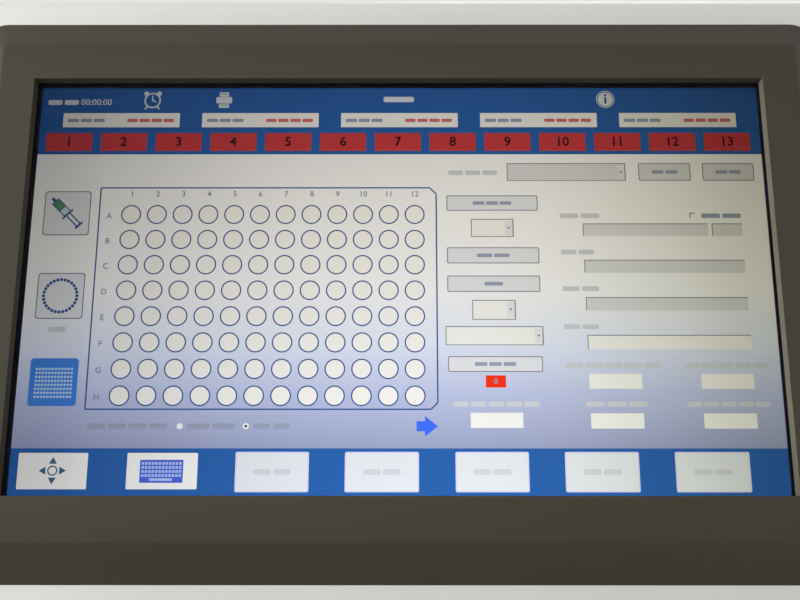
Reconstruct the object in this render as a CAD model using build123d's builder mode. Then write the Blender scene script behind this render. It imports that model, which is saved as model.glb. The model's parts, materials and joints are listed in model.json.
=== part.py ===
from build123d import *

import math
import os

# A benchtop cell culture analyzer, in millimetres, with +Z up and its front towards -Y.
# The origin lies on the bench, under the middle of the whole machine.
# Lower front: two drawers under two bays. Upper front: a touch display, tilted back.

os.makedirs("parts", exist_ok=True)

# Housing
housing_width = 520
housing_depth = 520
lower_front_height = 320
slope_length = 300
screen_tilt = 15
wall = 4
corner_radius = 14
seam_inset = 18
panel_gap = 0.4
foot_height = 14
foot_radius = 16
foot_chamfer = 2
foot_inset = 45

# How far the drawer pulls stand out in front, and the fan guard behind
pull_depth = 16
guard_depth = 6

# Front openings, in two columns beside a post and two rows beside a rail
post_share = 19 / 260
side_rail_share = 17 / 520
drawer_opening_height = 106
bottom_rail = 30
row_rail = 14
top_rail = 20
opening_radius = 5
front_gap = 1.5

# Touch display: the active area is a 15.6 inch panel with sides of 16 to 9
active_width = 344.2
active_height = 193.6
bezel_side = 18.8
bezel_top = 20.0
bezel_bottom = 20.8
flank_width = 18
flank_drop = 14
crease_radius = 3
picture_depth = 6
glass_border = 1.6
low_glass_border = 0.7
reveal_draft = 0.45
glass_overlap = 5
glass_thickness = 1.1
glass_gap = 0.2
lcd_thickness = 5
lcd_border = 7
lcd_rim = 11
display_back_depth = 30
display_margin = 3
display_clearance = 0.3
sheet = 2
driver_share = 2 / 3

# Inner structure
cage_wall = 2.5
bulkhead_depth = 262
bulkhead_thickness = 3
sampler_bay_depth = 190
pump_bay_depth = 62
bay_head = 6

# Drawers
drawer_travel = 165
drawer_front_thickness = 8
tray_lift = 14
tray_height = 44
tray_length = 232
tray_wall = 2
runner_thickness = 6
runner_height = 20
runner_lift = 26
runner_overlap = 75
groove_depth = 4
groove_height = 12
slide_clearance = 0.3
pull_width = 110
pull_height = 12
pull_wall = 3
grip_corner = 4

# Sample plate and its carrier
row_count = 8
column_count = 12
well_pitch = 9
well_size = 7.6
well_depth = 19.5
plate_length = 127.76
plate_breadth = 85.48
plate_height = 22
plate_skirt_height = 4
plate_skirt_width = 1.5
plate_corner = 3
nest_clearance = 0.3
nest_lift = 68
nest_rim = 5
nest_border = 11
carrier_deck = 4
skirt_width = 14
skirt_ground = 4
finger_notch = 34
carrier_rod_radius = 4
carrier_rod_lift = 12

# Sampler: rods across the bay, a carriage on them and a probe that goes down
probe_depth = 104
gantry_rod_radius = 4
gantry_rod_drop = 35
gantry_rod_spacing = 30
gantry_rod_behind = 44
bearing_clearance = 0.05
fixed_clearance = 0.02
carriage_width = 30
carriage_thickness = 20
carriage_margin = 12
guide_radius = 3
guide_behind = 16
guide_lug = 6
guide_drop = 19
guide_height = 88
guide_plate = 4
holder_width = 24
holder_height = 22
holder_margin = 7
holder_drop = 31
needle_radius = 1
tip_clearance = 5
needle_cap_radius = 3
needle_cap_height = 8
probe_travel = 41
wash_share = 13 / 112
wash_width = 14
wash_bore_width = 8
wash_flange_width = 22
wash_flange = 2
wash_floor = 1.5
wash_clearance = 0.5
slot_margin = 8
slot_breadth = 32
slot_corner = 2

# Hinged window and service door
window_thickness = 4
door_thickness = 6
window_pin_radius = 1.2
door_pin_radius = 1.5
pin_inset = 2.5
pin_reach = 5
door_axis_inset = 2.4
lip_height = 6
lip_depth = 9
lip_width = 90
door_pull_share = 0.6
door_pull_width = 10
door_pull_corner = 3
edge_round = 1

# Syringe port on the post
port_flange_radius = 16
port_flange = 4
port_nose_radius = 9
port_nose = 14
port_bore_radius = 2.15
port_bore_depth = 12
port_body = 22

# Pump heads and sensor module in the right bay
pump_foot_gap = 6
pump_head_gap = 4
pump_gap = 8
pump_side = 23
pump_depth = 26
pump_ledge = 6
raceway_wall = 5
raceway_depth = 20
tube_tail = 5
roller_count = 3
roller_share = 1 / 5
roller_gap = 0.3
rotor_rim = 3
rotor_flange = 2
hub_share = 3 / 4
rotor_setback = 1.5
shaft_radius = 3
shaft_reach = 8
tube_radius = 1.3
tube_gap = 0.1
motor_radius = 19
motor_length = 38
module_gap = 26
module_side = 19
module_margin = 9
module_depth = 35
card_slot_border = 13
card_slot_height = 8
card_slot_depth = 20
card_slot_share = 26 / 33
lever_length_share = 1 / 3
lever_width = 14
lever_thickness = 6
lever_pin_radius = 4
lever_share = 14 / 33

# Reagent packs
pack_count = 3
pack_gap = 4
pack_margin = 3.7
pack_length = 200
pack_height = 70
pack_corner = 6
cap_radius = 13
cap_height = 10
cap_from_front = 40
waste_height = 56

# Rear panel and electronics
fan_size = 92
fan_depth = 25
fan_bore_radius = 43
fan_blade_radius = 41
fan_hub_radius = 18
fan_hub_depth = 16
fan_blades = 7
blade_width = 20
blade_thickness = 1.6
blade_pitch = 35
strut_width = 6
strut_depth = 3
fan_shaft_radius = 3
fan_inset = 150
fan_high = 430
guard_ring_width = 2
guard_rings = 4
guard_spoke_width = 3
guard_posts = 4
entry_inset = 110
entry_high = 70
entry_width = 82
entry_height = 34
entry_flange = 2.5
entry_depth = 28
entry_border = 3
inlet_width = 25
inlet_height = 17
inlet_depth = 16
inlet_shift = 18
inlet_pin_width = 2
inlet_pin_height = 4
inlet_pin_length = 13
inlet_pins = 3
inlet_pin_spread = 7
rocker_radius = 11
rocker_width = 14
rocker_clearance = 0.5
rocker_rest = 10
rocker_setback = 4
rocker_face = 7
connector_step = 110
connector_width = 96
connector_height = 26
connector_depth = 18
connector_high = 70
network_width = 12
network_height = 9
serial_width = 14
serial_height = 6
socket_depth = 12
network_spread = 72
serial_spread = 24
supply_width = 100
supply_gap = 27
supply_height = 52
supply_from_back = 30
board_width = 240
board_height = 190
board_thickness = 2
board_high = 200
board_standoff = 8
heat_sink = 44
heat_sink_height = 18
heat_sink_fins = 8
vent_margin = 40
vent_pitch = 11
vent_width = 4
vent_length = 70
vent_low = 60

# Places worked out from the sizes above
front_y = (pull_depth - guard_depth) / 2 - housing_depth / 2
back_y = front_y + housing_depth
base_z = foot_height
deck_z = base_z + wall
break_z = base_z + lower_front_height
tilt = math.radians(screen_tilt)
top_y = front_y + slope_length * math.sin(tilt)
top_z = break_z + slope_length * math.cos(tilt)
inner_front_y = front_y + wall
inner_back_y = back_y - wall
post_width = housing_width * post_share
opening_width = (housing_width - post_width) / 2 - housing_width * side_rail_share
bay_opening_height = lower_front_height - bottom_rail - drawer_opening_height - row_rail - top_rail
column_x = (post_width + opening_width) / 2
column_half = opening_width / 2
drawer_low_z = base_z + bottom_rail
drawer_high_z = drawer_low_z + drawer_opening_height
bay_low_z = drawer_high_z + row_rail
bay_high_z = bay_low_z + bay_opening_height
bay_top_z = bay_high_z + bay_head
bay_inner_top_z = bay_top_z - cage_wall
bay_floor_z = drawer_high_z + cage_wall
bulkhead_y = front_y + bulkhead_depth
slope = Plane(origin=(0, front_y, break_z), x_dir=(1, 0, 0), z_dir=(0, -math.cos(tilt), math.sin(tilt)))


def level(height):
    """The horizontal plane at a height."""
    return Plane.XY.offset(height)


def facing_front(depth_y):
    """The upright plane at depth_y that faces the front, with X and Z as its own axes."""
    return Plane.XZ.offset(-depth_y)


def facing_side(side_x):
    """The upright plane at side_x that faces +X, with Y and Z as its own axes."""
    return Plane.YZ.offset(side_x)


def finish(piece, name):
    """Label a finished piece and write its file."""
    piece.part.label = name
    export_step(piece.part, f"parts/{name}.step")


# Housing: one hollow form, rounded all round above its base, cut along the seams of its panels

def housing_block(inset):
    """The closed form of the housing, with every face moved inwards by inset."""
    profile = [
        (front_y, base_z),
        (front_y, break_z),
        (top_y, top_z),
        (back_y, top_z),
        (back_y, base_z),
    ]
    with BuildPart() as block:
        with BuildSketch(Plane.YZ):
            with BuildLine():
                Polyline(*profile, close=True)
            make_face()
            if inset:
                offset(amount=-inset, kind=Kind.INTERSECTION)
        extrude(amount=housing_width / 2 - inset, both=True)
        fillet(block.edges() - block.edges().group_by(Axis.Z)[0], corner_radius - inset)
    return block.part


with BuildPart() as shell:
    add(housing_block(0))
    add(housing_block(wall), mode=Mode.SUBTRACT)


def shell_piece(*seams):
    """The part of the hollow housing that lies on the positive side of each seam plane."""
    with BuildPart() as piece:
        add(shell.part)
        for seam in seams:
            split(bisect_by=seam.offset(panel_gap / 2), keep=Keep.TOP)
    return piece.part


above_base = level(deck_z)
below_base = Plane(origin=(0, 0, deck_z), z_dir=(0, 0, -1))
above_break = level(break_z)
below_break = Plane(origin=(0, 0, break_z), z_dir=(0, 0, -1))
before_front_seam = facing_front(front_y + seam_inset)
behind_front_seam = Plane(origin=(0, front_y + seam_inset, 0), z_dir=(0, 1, 0))
before_slope_seam = slope.offset(-seam_inset)
behind_slope_seam = Plane(origin=before_slope_seam.origin, z_dir=-before_slope_seam.z_dir)
behind_rear_seam = Plane(origin=(0, back_y - seam_inset, 0), z_dir=(0, 1, 0))
before_rear_seam = facing_front(back_y - seam_inset)
side_seam_x = housing_width / 2 - seam_inset
above_top_seam = level(top_z - seam_inset)

with BuildPart() as base_pan:
    add(shell_piece(below_base))
finish(base_pan, "base_pan")

with BuildPart() as feet:
    with BuildSketch():
        with GridLocations(housing_width - 2 * foot_inset, housing_depth - 2 * foot_inset, 2, 2):
            Circle(foot_radius)
    extrude(amount=foot_height)
    chamfer(feet.edges().group_by(Axis.Z)[0], foot_chamfer)
feet.part = feet.part.moved(Location((0, (front_y + back_y) / 2, 0)))
finish(feet, "feet")

window_axis_z = bay_high_z - front_gap - pin_inset
window_axis_y = front_y + window_thickness / 2
door_axis_x = column_x + opening_width / 2 - front_gap - pin_inset
door_axis_y = front_y + door_axis_inset

with BuildPart() as front_frame:
    add(shell_piece(above_base, below_break, before_front_seam))
    with BuildSketch(facing_front(inner_front_y)):
        with Locations((0, (drawer_low_z + drawer_high_z) / 2)):
            with GridLocations(2 * column_x, 0, 2, 1):
                RectangleRounded(opening_width, drawer_opening_height, opening_radius)
        with Locations((0, (bay_low_z + bay_high_z) / 2)):
            with GridLocations(2 * column_x, 0, 2, 1):
                RectangleRounded(opening_width, bay_opening_height, opening_radius)
            Circle(port_nose_radius + slide_clearance)
    extrude(amount=wall, mode=Mode.SUBTRACT)
    with BuildSketch(facing_side(-column_x - opening_width / 2 - pin_reach)):
        with Locations((window_axis_y, window_axis_z)):
            Circle(window_pin_radius + bearing_clearance)
    extrude(amount=opening_width + 2 * pin_reach, mode=Mode.SUBTRACT)
    with BuildSketch(level(bay_low_z - pin_reach)):
        with Locations((door_axis_x, door_axis_y)):
            Circle(door_pin_radius + bearing_clearance)
    extrude(amount=bay_opening_height + 2 * pin_reach, mode=Mode.SUBTRACT)
finish(front_frame, "front_frame")

# The display's own planes: slope_centre lies on the housing's slope, screen on the picture
bezel_width = active_width + 2 * bezel_side
bezel_height = active_height + bezel_top + bezel_bottom
display_shift = (bezel_top - bezel_bottom) / 2
slope_middle = slope.origin + slope.y_dir * (slope_length / 2)
slope_centre = Plane(origin=slope_middle, x_dir=(1, 0, 0), z_dir=slope.z_dir)
screen_rise = flank_drop - picture_depth
lcd_width = active_width + 2 * lcd_border
lcd_height = active_height + 2 * lcd_rim
back_width = lcd_width + 2 * display_margin
back_height = lcd_height + 2 * display_margin

with BuildPart() as upper_front:
    add(shell_piece(above_break, before_slope_seam))
    with BuildSketch(slope_centre):
        Rectangle(back_width + 2 * display_clearance, back_height + 2 * display_clearance)
    extrude(amount=-2 * wall, mode=Mode.SUBTRACT)
finish(upper_front, "upper_front")


vent_count = int((back_y - seam_inset - bulkhead_y - 2 * vent_margin) / vent_pitch)


def side_vents(side_x):
    """A row of upright slots, for a cut through the side wall at side_x."""
    with BuildSketch(facing_side(side_x)) as slots:
        with Locations(((bulkhead_y + back_y) / 2, deck_z + vent_low + vent_length / 2)):
            with GridLocations(vent_pitch, 0, vent_count, 1):
                SlotOverall(vent_length, vent_width, rotation=90)
    return slots.sketch


def side_cover(side):
    """One side wall with its rounded edges and its row of slots."""
    seam = Plane(origin=(side * side_seam_x, 0, 0), z_dir=(side, 0, 0))
    with BuildPart() as cover:
        add(shell_piece(above_base, seam, behind_front_seam, behind_slope_seam, before_rear_seam))
        extrude(side_vents(side * housing_width / 2), amount=wall, both=True, mode=Mode.SUBTRACT)
    return cover


left_cover = side_cover(-1)
finish(left_cover, "left_cover")
right_cover = side_cover(1)
finish(right_cover, "right_cover")

with BuildPart() as top_cover:
    left_seam = Plane(origin=(-side_seam_x, 0, 0), z_dir=(1, 0, 0))
    right_seam = Plane(origin=(side_seam_x, 0, 0), z_dir=(-1, 0, 0))
    add(shell_piece(above_top_seam, left_seam, right_seam, behind_slope_seam, before_rear_seam))
finish(top_cover, "top_cover")

entry_x = housing_width / 2 - entry_inset
entry_z = base_z + entry_high
connector_x = entry_x - connector_step
connector_z = base_z + connector_high
fan_x = fan_inset - housing_width / 2
fan_z = base_z + fan_high

with BuildPart() as rear_cover:
    add(shell_piece(above_base, behind_rear_seam))
    with BuildSketch(facing_front(back_y)):
        with Locations((fan_x, fan_z)):
            Circle(fan_bore_radius)
        with Locations((entry_x, entry_z)):
            Rectangle(entry_width - 2 * entry_border, entry_height - 2 * entry_border)
        with Locations((connector_x, connector_z)):
            Rectangle(connector_width, connector_height)
        with Locations((-fan_x, fan_z)):
            with GridLocations(vent_pitch, 0, vent_count, 1):
                SlotOverall(vent_length, vent_width, rotation=90)
    extrude(amount=wall, mode=Mode.SUBTRACT)
finish(rear_cover, "rear_cover")

# Display: bezel, glass, panel and back cover, stacked on the slope

with BuildPart() as bezel:
    with BuildSketch(slope_centre):
        with Locations((0, display_shift)):
            RectangleRounded(bezel_width + 2 * flank_width, bezel_height + 2 * flank_width, corner_radius)
    with BuildSketch(slope_centre.offset(flank_drop)):
        with Locations((0, display_shift)):
            RectangleRounded(bezel_width, bezel_height, crease_radius)
    loft()
    outwards = Axis(slope_centre.origin, slope_centre.z_dir)
    fillet(bezel.faces().sort_by(outwards)[-1].edges(), crease_radius)
    with BuildSketch(slope_centre):
        Rectangle(lcd_width + 2 * display_clearance, lcd_height + 2 * display_clearance)
    extrude(amount=screen_rise + glass_gap, mode=Mode.SUBTRACT)
    glass_low = slope_centre.offset(screen_rise + glass_gap)
    with BuildSketch(glass_low):
        glass_pocket = glass_overlap + glass_border + display_clearance
        Rectangle(active_width + 2 * glass_pocket, active_height + 2 * glass_pocket)
    extrude(amount=glass_thickness, mode=Mode.SUBTRACT)
    window_width = active_width + 2 * glass_border
    window_height = active_height + glass_border + low_glass_border
    window_shift = (glass_border - low_glass_border) / 2
    with BuildSketch(glass_low.offset(glass_thickness)):
        with Locations((0, window_shift)):
            Rectangle(window_width, window_height)
    with BuildSketch(slope_centre.offset(flank_drop)):
        with Locations((0, window_shift)):
            Rectangle(window_width + 2 * reveal_draft, window_height + 2 * reveal_draft)
    loft(mode=Mode.SUBTRACT)
finish(bezel, "bezel")

with BuildPart() as touch_glass:
    with BuildSketch(glass_low):
        glass_rim = glass_overlap + glass_border
        Rectangle(active_width + 2 * glass_rim, active_height + 2 * glass_rim)
    extrude(amount=glass_thickness)
finish(touch_glass, "touch_glass")

with BuildPart() as lcd_panel:
    with BuildSketch(slope_centre.offset(screen_rise)):
        Rectangle(lcd_width, lcd_height)
    extrude(amount=-lcd_thickness)
finish(lcd_panel, "lcd_panel")

with BuildPart() as display_back:
    with BuildSketch(slope_centre.offset(screen_rise - lcd_thickness)):
        Rectangle(lcd_width, lcd_height)
    extrude(amount=-(screen_rise - lcd_thickness))
    with BuildSketch(slope_centre):
        Rectangle(back_width, back_height)
    extrude(amount=-display_back_depth)
    with BuildSketch(slope_centre.offset(-sheet)):
        Rectangle(back_width - 2 * sheet, back_height - 2 * sheet)
    extrude(amount=-(display_back_depth - 2 * sheet), mode=Mode.SUBTRACT)
finish(display_back, "display_back")

with BuildPart() as driver_board:
    with BuildSketch(slope_centre.offset(sheet - display_back_depth)):
        with GridLocations(back_width / 2, back_height / 2, 2, 2):
            Circle(guide_radius)
    extrude(amount=board_standoff)
    with BuildSketch(slope_centre.offset(sheet - display_back_depth + board_standoff)):
        Rectangle(back_width * driver_share, back_height * driver_share)
    extrude(amount=board_thickness)
finish(driver_board, "driver_board")

# Inner structure: bulkhead, drawer cages and the two bays above them

with BuildPart() as bulkhead:
    with BuildSketch(facing_front(bulkhead_y)):
        bulkhead_height = top_z - wall - deck_z
        with Locations((0, deck_z + bulkhead_height / 2)):
            Rectangle(housing_width - 2 * wall, bulkhead_height)
    extrude(amount=-bulkhead_thickness)
    inner_corners = bulkhead.edges().filter_by(Axis.Y).group_by(Axis.Z)[-1]
    fillet(inner_corners, corner_radius - wall)
finish(bulkhead, "bulkhead")


def drawer_cage(side):
    """An open channel of sheet metal that carries one drawer's runners."""
    with BuildPart() as cage:
        with BuildSketch(facing_front(bulkhead_y)):
            with Locations((side * column_x, (deck_z + drawer_high_z) / 2)):
                Rectangle(opening_width + 2 * cage_wall, drawer_high_z - deck_z)
            with Locations((side * column_x, (deck_z + cage_wall + drawer_high_z) / 2)):
                Rectangle(opening_width, drawer_high_z - deck_z - cage_wall, mode=Mode.SUBTRACT)
        extrude(amount=bulkhead_y - inner_front_y)
    return cage


sample_cage = drawer_cage(-1)
finish(sample_cage, "sample_cage")
reagent_cage = drawer_cage(1)
finish(reagent_cage, "reagent_cage")

probe_y = front_y + probe_depth
plate_y = probe_y - (row_count - 1) / 2 * well_pitch
column_reach = (column_count - 1) / 2 * well_pitch
wash_x = -column_x + column_half - opening_width * wash_share
slot_length = 2 * (column_reach + slot_margin)

with BuildPart() as sampler_bay:
    with BuildSketch(facing_front(inner_front_y + sampler_bay_depth)):
        with Locations((-column_x, (drawer_high_z + bay_top_z) / 2)):
            Rectangle(opening_width + 2 * cage_wall, bay_top_z - drawer_high_z)
    extrude(amount=sampler_bay_depth)
    with BuildSketch(facing_front(inner_front_y + sampler_bay_depth - cage_wall)):
        with Locations((-column_x, (bay_floor_z + bay_inner_top_z) / 2)):
            Rectangle(opening_width, bay_inner_top_z - bay_floor_z)
    extrude(amount=sampler_bay_depth - cage_wall, mode=Mode.SUBTRACT)
    with BuildSketch(level(drawer_high_z)):
        with Locations((-column_x, probe_y)):
            RectangleRounded(slot_length, slot_breadth, slot_corner)
        with Locations((wash_x, probe_y)):
            wash_hole = wash_width + 2 * slide_clearance
            Rectangle(wash_hole, wash_hole)
    extrude(amount=cage_wall, mode=Mode.SUBTRACT)
finish(sampler_bay, "sampler_bay")

pump_plate_y = inner_front_y + pump_bay_depth - cage_wall
pump_pitch = (bay_opening_height - pump_foot_gap - pump_head_gap + pump_gap) / 2
pump_size = pump_pitch - pump_gap - pump_ledge
pump_x = column_x - column_half + pump_side + pump_size / 2
pump_low_z = bay_low_z + pump_foot_gap + pump_ledge + pump_size / 2
pump_centres = {"lower": pump_low_z, "upper": pump_low_z + pump_pitch}

with BuildPart() as pump_bay:
    with BuildSketch(facing_front(inner_front_y + pump_bay_depth)):
        with Locations((column_x, (drawer_high_z + bay_top_z) / 2)):
            Rectangle(opening_width + 2 * cage_wall, bay_top_z - drawer_high_z)
    extrude(amount=pump_bay_depth)
    with BuildSketch(facing_front(pump_plate_y)):
        with Locations((column_x, (bay_floor_z + bay_inner_top_z) / 2)):
            Rectangle(opening_width, bay_inner_top_z - bay_floor_z)
    extrude(amount=pump_bay_depth - cage_wall, mode=Mode.SUBTRACT)
    with BuildSketch(facing_front(inner_front_y + pump_bay_depth)):
        with Locations(*[(pump_x, height) for height in pump_centres.values()]):
            Circle(shaft_radius + bearing_clearance)
    extrude(amount=cage_wall, mode=Mode.SUBTRACT)
finish(pump_bay, "pump_bay")

# Drawers: both have the same front, tray and runners

tray_half = column_half - 2 * runner_thickness - slide_clearance
tray_z = drawer_low_z + tray_lift
tray_floor_z = tray_z + tray_wall
tray_front_y = front_y + drawer_front_thickness
tray_back_y = tray_front_y + tray_length
runner_z = drawer_low_z + runner_lift
runner_length = drawer_travel + runner_overlap


def drawer_front(side):
    """The front panel of a drawer, with a hooded pull across it."""
    centre = (side * column_x, (drawer_low_z + drawer_high_z) / 2)
    with BuildPart() as front:
        with BuildSketch(facing_front(tray_front_y)):
            with Locations(centre):
                RectangleRounded(
                    opening_width - 2 * front_gap,
                    drawer_opening_height - 2 * front_gap,
                    opening_radius - front_gap,
                )
        extrude(amount=drawer_front_thickness)
        fillet(front.faces().sort_by(Axis.Y)[0].edges(), edge_round)
        with BuildSketch(facing_front(front_y)):
            with Locations(centre):
                RectangleRounded(pull_width, pull_height, grip_corner)
        extrude(amount=pull_depth)
        fillet(front.faces().sort_by(Axis.Y)[0].edges(), edge_round)
        with BuildSketch(level(centre[1] - pull_height / 2)):
            with Locations((centre[0], front_y - (pull_depth - pull_wall) / 2)):
                Rectangle(pull_width - 2 * pull_wall, pull_depth - pull_wall)
        extrude(amount=pull_height - pull_wall, mode=Mode.SUBTRACT)
    return front


def drawer_tray(side):
    """The open tray behind a drawer's front."""
    with BuildPart() as tray:
        with BuildSketch(level(tray_z)):
            with Locations((side * column_x, (tray_front_y + tray_back_y) / 2)):
                Rectangle(2 * tray_half, tray_length)
        extrude(amount=tray_height)
        offset(amount=-tray_wall, openings=tray.faces().sort_by(Axis.Z)[-1])
    return tray


def drawer_rails(side):
    """The two grooved rails that the cage holds."""
    with BuildPart() as rails:
        with BuildSketch(facing_front(bulkhead_y)):
            with Locations((side * column_x, runner_z)):
                with GridLocations(opening_width - runner_thickness, 0, 2, 1):
                    Rectangle(runner_thickness, runner_height)
                groove_width = opening_width - 2 * (runner_thickness - groove_depth)
                Rectangle(groove_width, groove_height, mode=Mode.SUBTRACT)
        extrude(amount=runner_length)
    return rails


def drawer_slides(side):
    """The two bars on the tray's sides that run in the rails' grooves."""
    slide_width = runner_thickness + groove_depth
    with BuildPart() as slides:
        with BuildSketch(facing_front(tray_back_y)):
            with Locations((side * column_x, runner_z)):
                with GridLocations(2 * tray_half + slide_width, 0, 2, 1):
                    Rectangle(slide_width, groove_height - 2 * slide_clearance)
        extrude(amount=tray_length)
    return slides


for drawer, side in (("sample", -1), ("reagent", 1)):
    finish(drawer_front(side), f"{drawer}_drawer_front")
    finish(drawer_tray(side), f"{drawer}_tray")
    finish(drawer_rails(side), f"{drawer}_rails")
    finish(drawer_slides(side), f"{drawer}_slides")

# Plate carrier: it runs back on two rods in the sample tray, so that each row comes under the probe

nest_z = drawer_low_z + nest_lift
nest_length = plate_length + 2 * nest_clearance
nest_breadth = plate_breadth + 2 * nest_clearance
carrier_width = nest_length + 2 * nest_border
carrier_length = nest_breadth + 2 * nest_rim
carrier_rod_z = tray_floor_z + carrier_rod_lift
carrier_rod_span = carrier_width - skirt_width
carrier_low_z = tray_floor_z + skirt_ground
carrier_high_z = nest_z + nest_rim

with BuildPart() as carrier_rods:
    with BuildSketch(facing_front(tray_back_y - tray_wall)):
        with Locations((-column_x, carrier_rod_z)):
            with GridLocations(carrier_rod_span, 0, 2, 1):
                Circle(carrier_rod_radius)
    extrude(amount=tray_length - 2 * tray_wall)
finish(carrier_rods, "carrier_rods")

with BuildPart() as plate_carrier:
    with BuildSketch(facing_front(plate_y + carrier_length / 2)):
        with Locations((-column_x, (carrier_low_z + carrier_high_z) / 2)):
            Rectangle(carrier_width, carrier_high_z - carrier_low_z)
        with Locations((-column_x, (carrier_low_z + nest_z - carrier_deck) / 2)):
            hollow_height = nest_z - carrier_deck - carrier_low_z
            Rectangle(carrier_width - 2 * skirt_width, hollow_height, mode=Mode.SUBTRACT)
        with Locations((-column_x, carrier_rod_z)):
            with GridLocations(carrier_rod_span, 0, 2, 1):
                Circle(carrier_rod_radius + bearing_clearance, mode=Mode.SUBTRACT)
    extrude(amount=carrier_length)
    with BuildSketch(level(nest_z)):
        with Locations((-column_x, plate_y)):
            Rectangle(nest_length, nest_breadth)
            Rectangle(carrier_width, finger_notch)
    extrude(amount=nest_rim, mode=Mode.SUBTRACT)
finish(plate_carrier, "plate_carrier")

with BuildPart() as sample_plate:
    with BuildSketch(level(nest_z)):
        with Locations((-column_x, plate_y)):
            RectangleRounded(plate_length, plate_breadth, plate_corner)
    extrude(amount=plate_skirt_height)
    with BuildSketch(level(nest_z)):
        with Locations((-column_x, plate_y)):
            RectangleRounded(
                plate_length - 2 * plate_skirt_width, plate_breadth - 2 * plate_skirt_width, plate_corner
            )
    extrude(amount=plate_height)
    with BuildSketch(level(nest_z + plate_height)):
        with Locations((-column_x, plate_y)):
            with GridLocations(well_pitch, well_pitch, column_count, row_count):
                Rectangle(well_size, well_size)
    extrude(amount=-well_depth, mode=Mode.SUBTRACT)
finish(sample_plate, "sample_plate")

# Sampler: two rods across the bay, the carriage, and the probe on its guide

gantry_y = probe_y + gantry_rod_behind
gantry_z = bay_inner_top_z - gantry_rod_drop - gantry_rod_spacing
guide_y = probe_y + guide_behind
guide_low_z = bay_inner_top_z - guide_drop - guide_height
holder_low_z = bay_inner_top_z - holder_drop - holder_height
lowest_tip_z = nest_z + plate_height - well_depth + tip_clearance
tip_z = lowest_tip_z + probe_travel
guide_plate_y = gantry_y - carriage_thickness / 2

with BuildPart() as gantry_rods:
    with BuildSketch(facing_side(-column_x - column_half)):
        with Locations((gantry_y, gantry_z + gantry_rod_spacing / 2)):
            with GridLocations(0, gantry_rod_spacing, 1, 2):
                Circle(gantry_rod_radius)
    extrude(amount=opening_width)
finish(gantry_rods, "gantry_rods")

with BuildPart() as gantry_carriage:
    with BuildSketch(facing_side(wash_x - carriage_width / 2)):
        with Locations((gantry_y, gantry_z + gantry_rod_spacing / 2)):
            Rectangle(carriage_thickness, gantry_rod_spacing + 2 * carriage_margin)
            with GridLocations(0, gantry_rod_spacing, 1, 2):
                Circle(gantry_rod_radius + bearing_clearance, mode=Mode.SUBTRACT)
    extrude(amount=carriage_width)
    with BuildSketch(facing_side(wash_x - holder_width / 2)):
        with Locations((guide_plate_y - guide_plate / 2, guide_low_z + guide_height / 2)):
            Rectangle(guide_plate, guide_height)
        lug_front_y = guide_y - 2 * guide_radius
        lug_length = guide_plate_y - lug_front_y
        with Locations((lug_front_y + lug_length / 2, guide_low_z + guide_height / 2)):
            with GridLocations(0, guide_height - guide_lug, 1, 2):
                Rectangle(lug_length, guide_lug)
    extrude(amount=holder_width)
    with BuildSketch(level(guide_low_z)):
        with Locations((wash_x, guide_y)):
            Circle(guide_radius + fixed_clearance)
    extrude(amount=guide_height, mode=Mode.SUBTRACT)
finish(gantry_carriage, "gantry_carriage")

with BuildPart() as probe_guide:
    with BuildSketch(level(guide_low_z)):
        with Locations((wash_x, guide_y)):
            Circle(guide_radius)
    extrude(amount=guide_height)
finish(probe_guide, "probe_guide")

with BuildPart() as probe_holder:
    holder_front_y = probe_y - holder_margin
    holder_back_y = guide_y + holder_margin
    with BuildSketch(level(holder_low_z)):
        with Locations((wash_x, (holder_front_y + holder_back_y) / 2)):
            RectangleRounded(holder_width, holder_back_y - holder_front_y, holder_margin / 2)
        with Locations((wash_x, guide_y)):
            Circle(guide_radius + bearing_clearance, mode=Mode.SUBTRACT)
        with Locations((wash_x, probe_y)):
            Circle(needle_radius + fixed_clearance, mode=Mode.SUBTRACT)
    extrude(amount=holder_height)
finish(probe_holder, "probe_holder")

with BuildPart() as probe_needle:
    with BuildSketch(level(tip_z)):
        with Locations((wash_x, probe_y)):
            Circle(needle_radius)
    extrude(amount=holder_low_z + holder_height - tip_z)
    with BuildSketch(level(holder_low_z + holder_height)):
        with Locations((wash_x, probe_y)):
            Circle(needle_cap_radius)
    extrude(amount=needle_cap_height)
finish(probe_needle, "probe_needle")

wash_floor_z = lowest_tip_z - wash_clearance
wash_low_z = wash_floor_z - wash_floor

with BuildPart() as wash_cup:
    with BuildSketch(level(wash_low_z)):
        with Locations((wash_x, probe_y)):
            Rectangle(wash_width, wash_width)
    extrude(amount=bay_floor_z - wash_low_z)
    with BuildSketch(level(bay_floor_z)):
        with Locations((wash_x, probe_y)):
            Rectangle(wash_flange_width, wash_flange_width)
    extrude(amount=wash_flange)
    with BuildSketch(level(wash_floor_z)):
        with Locations((wash_x, probe_y)):
            Rectangle(wash_bore_width, wash_bore_width)
    extrude(amount=bay_floor_z + wash_flange - wash_floor_z, mode=Mode.SUBTRACT)
finish(wash_cup, "wash_cup")

# Window and door, with the pins that they turn on

panel_width = opening_width - 2 * front_gap
panel_height = bay_opening_height - 2 * front_gap
bay_middle_z = (bay_low_z + bay_high_z) / 2

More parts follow.
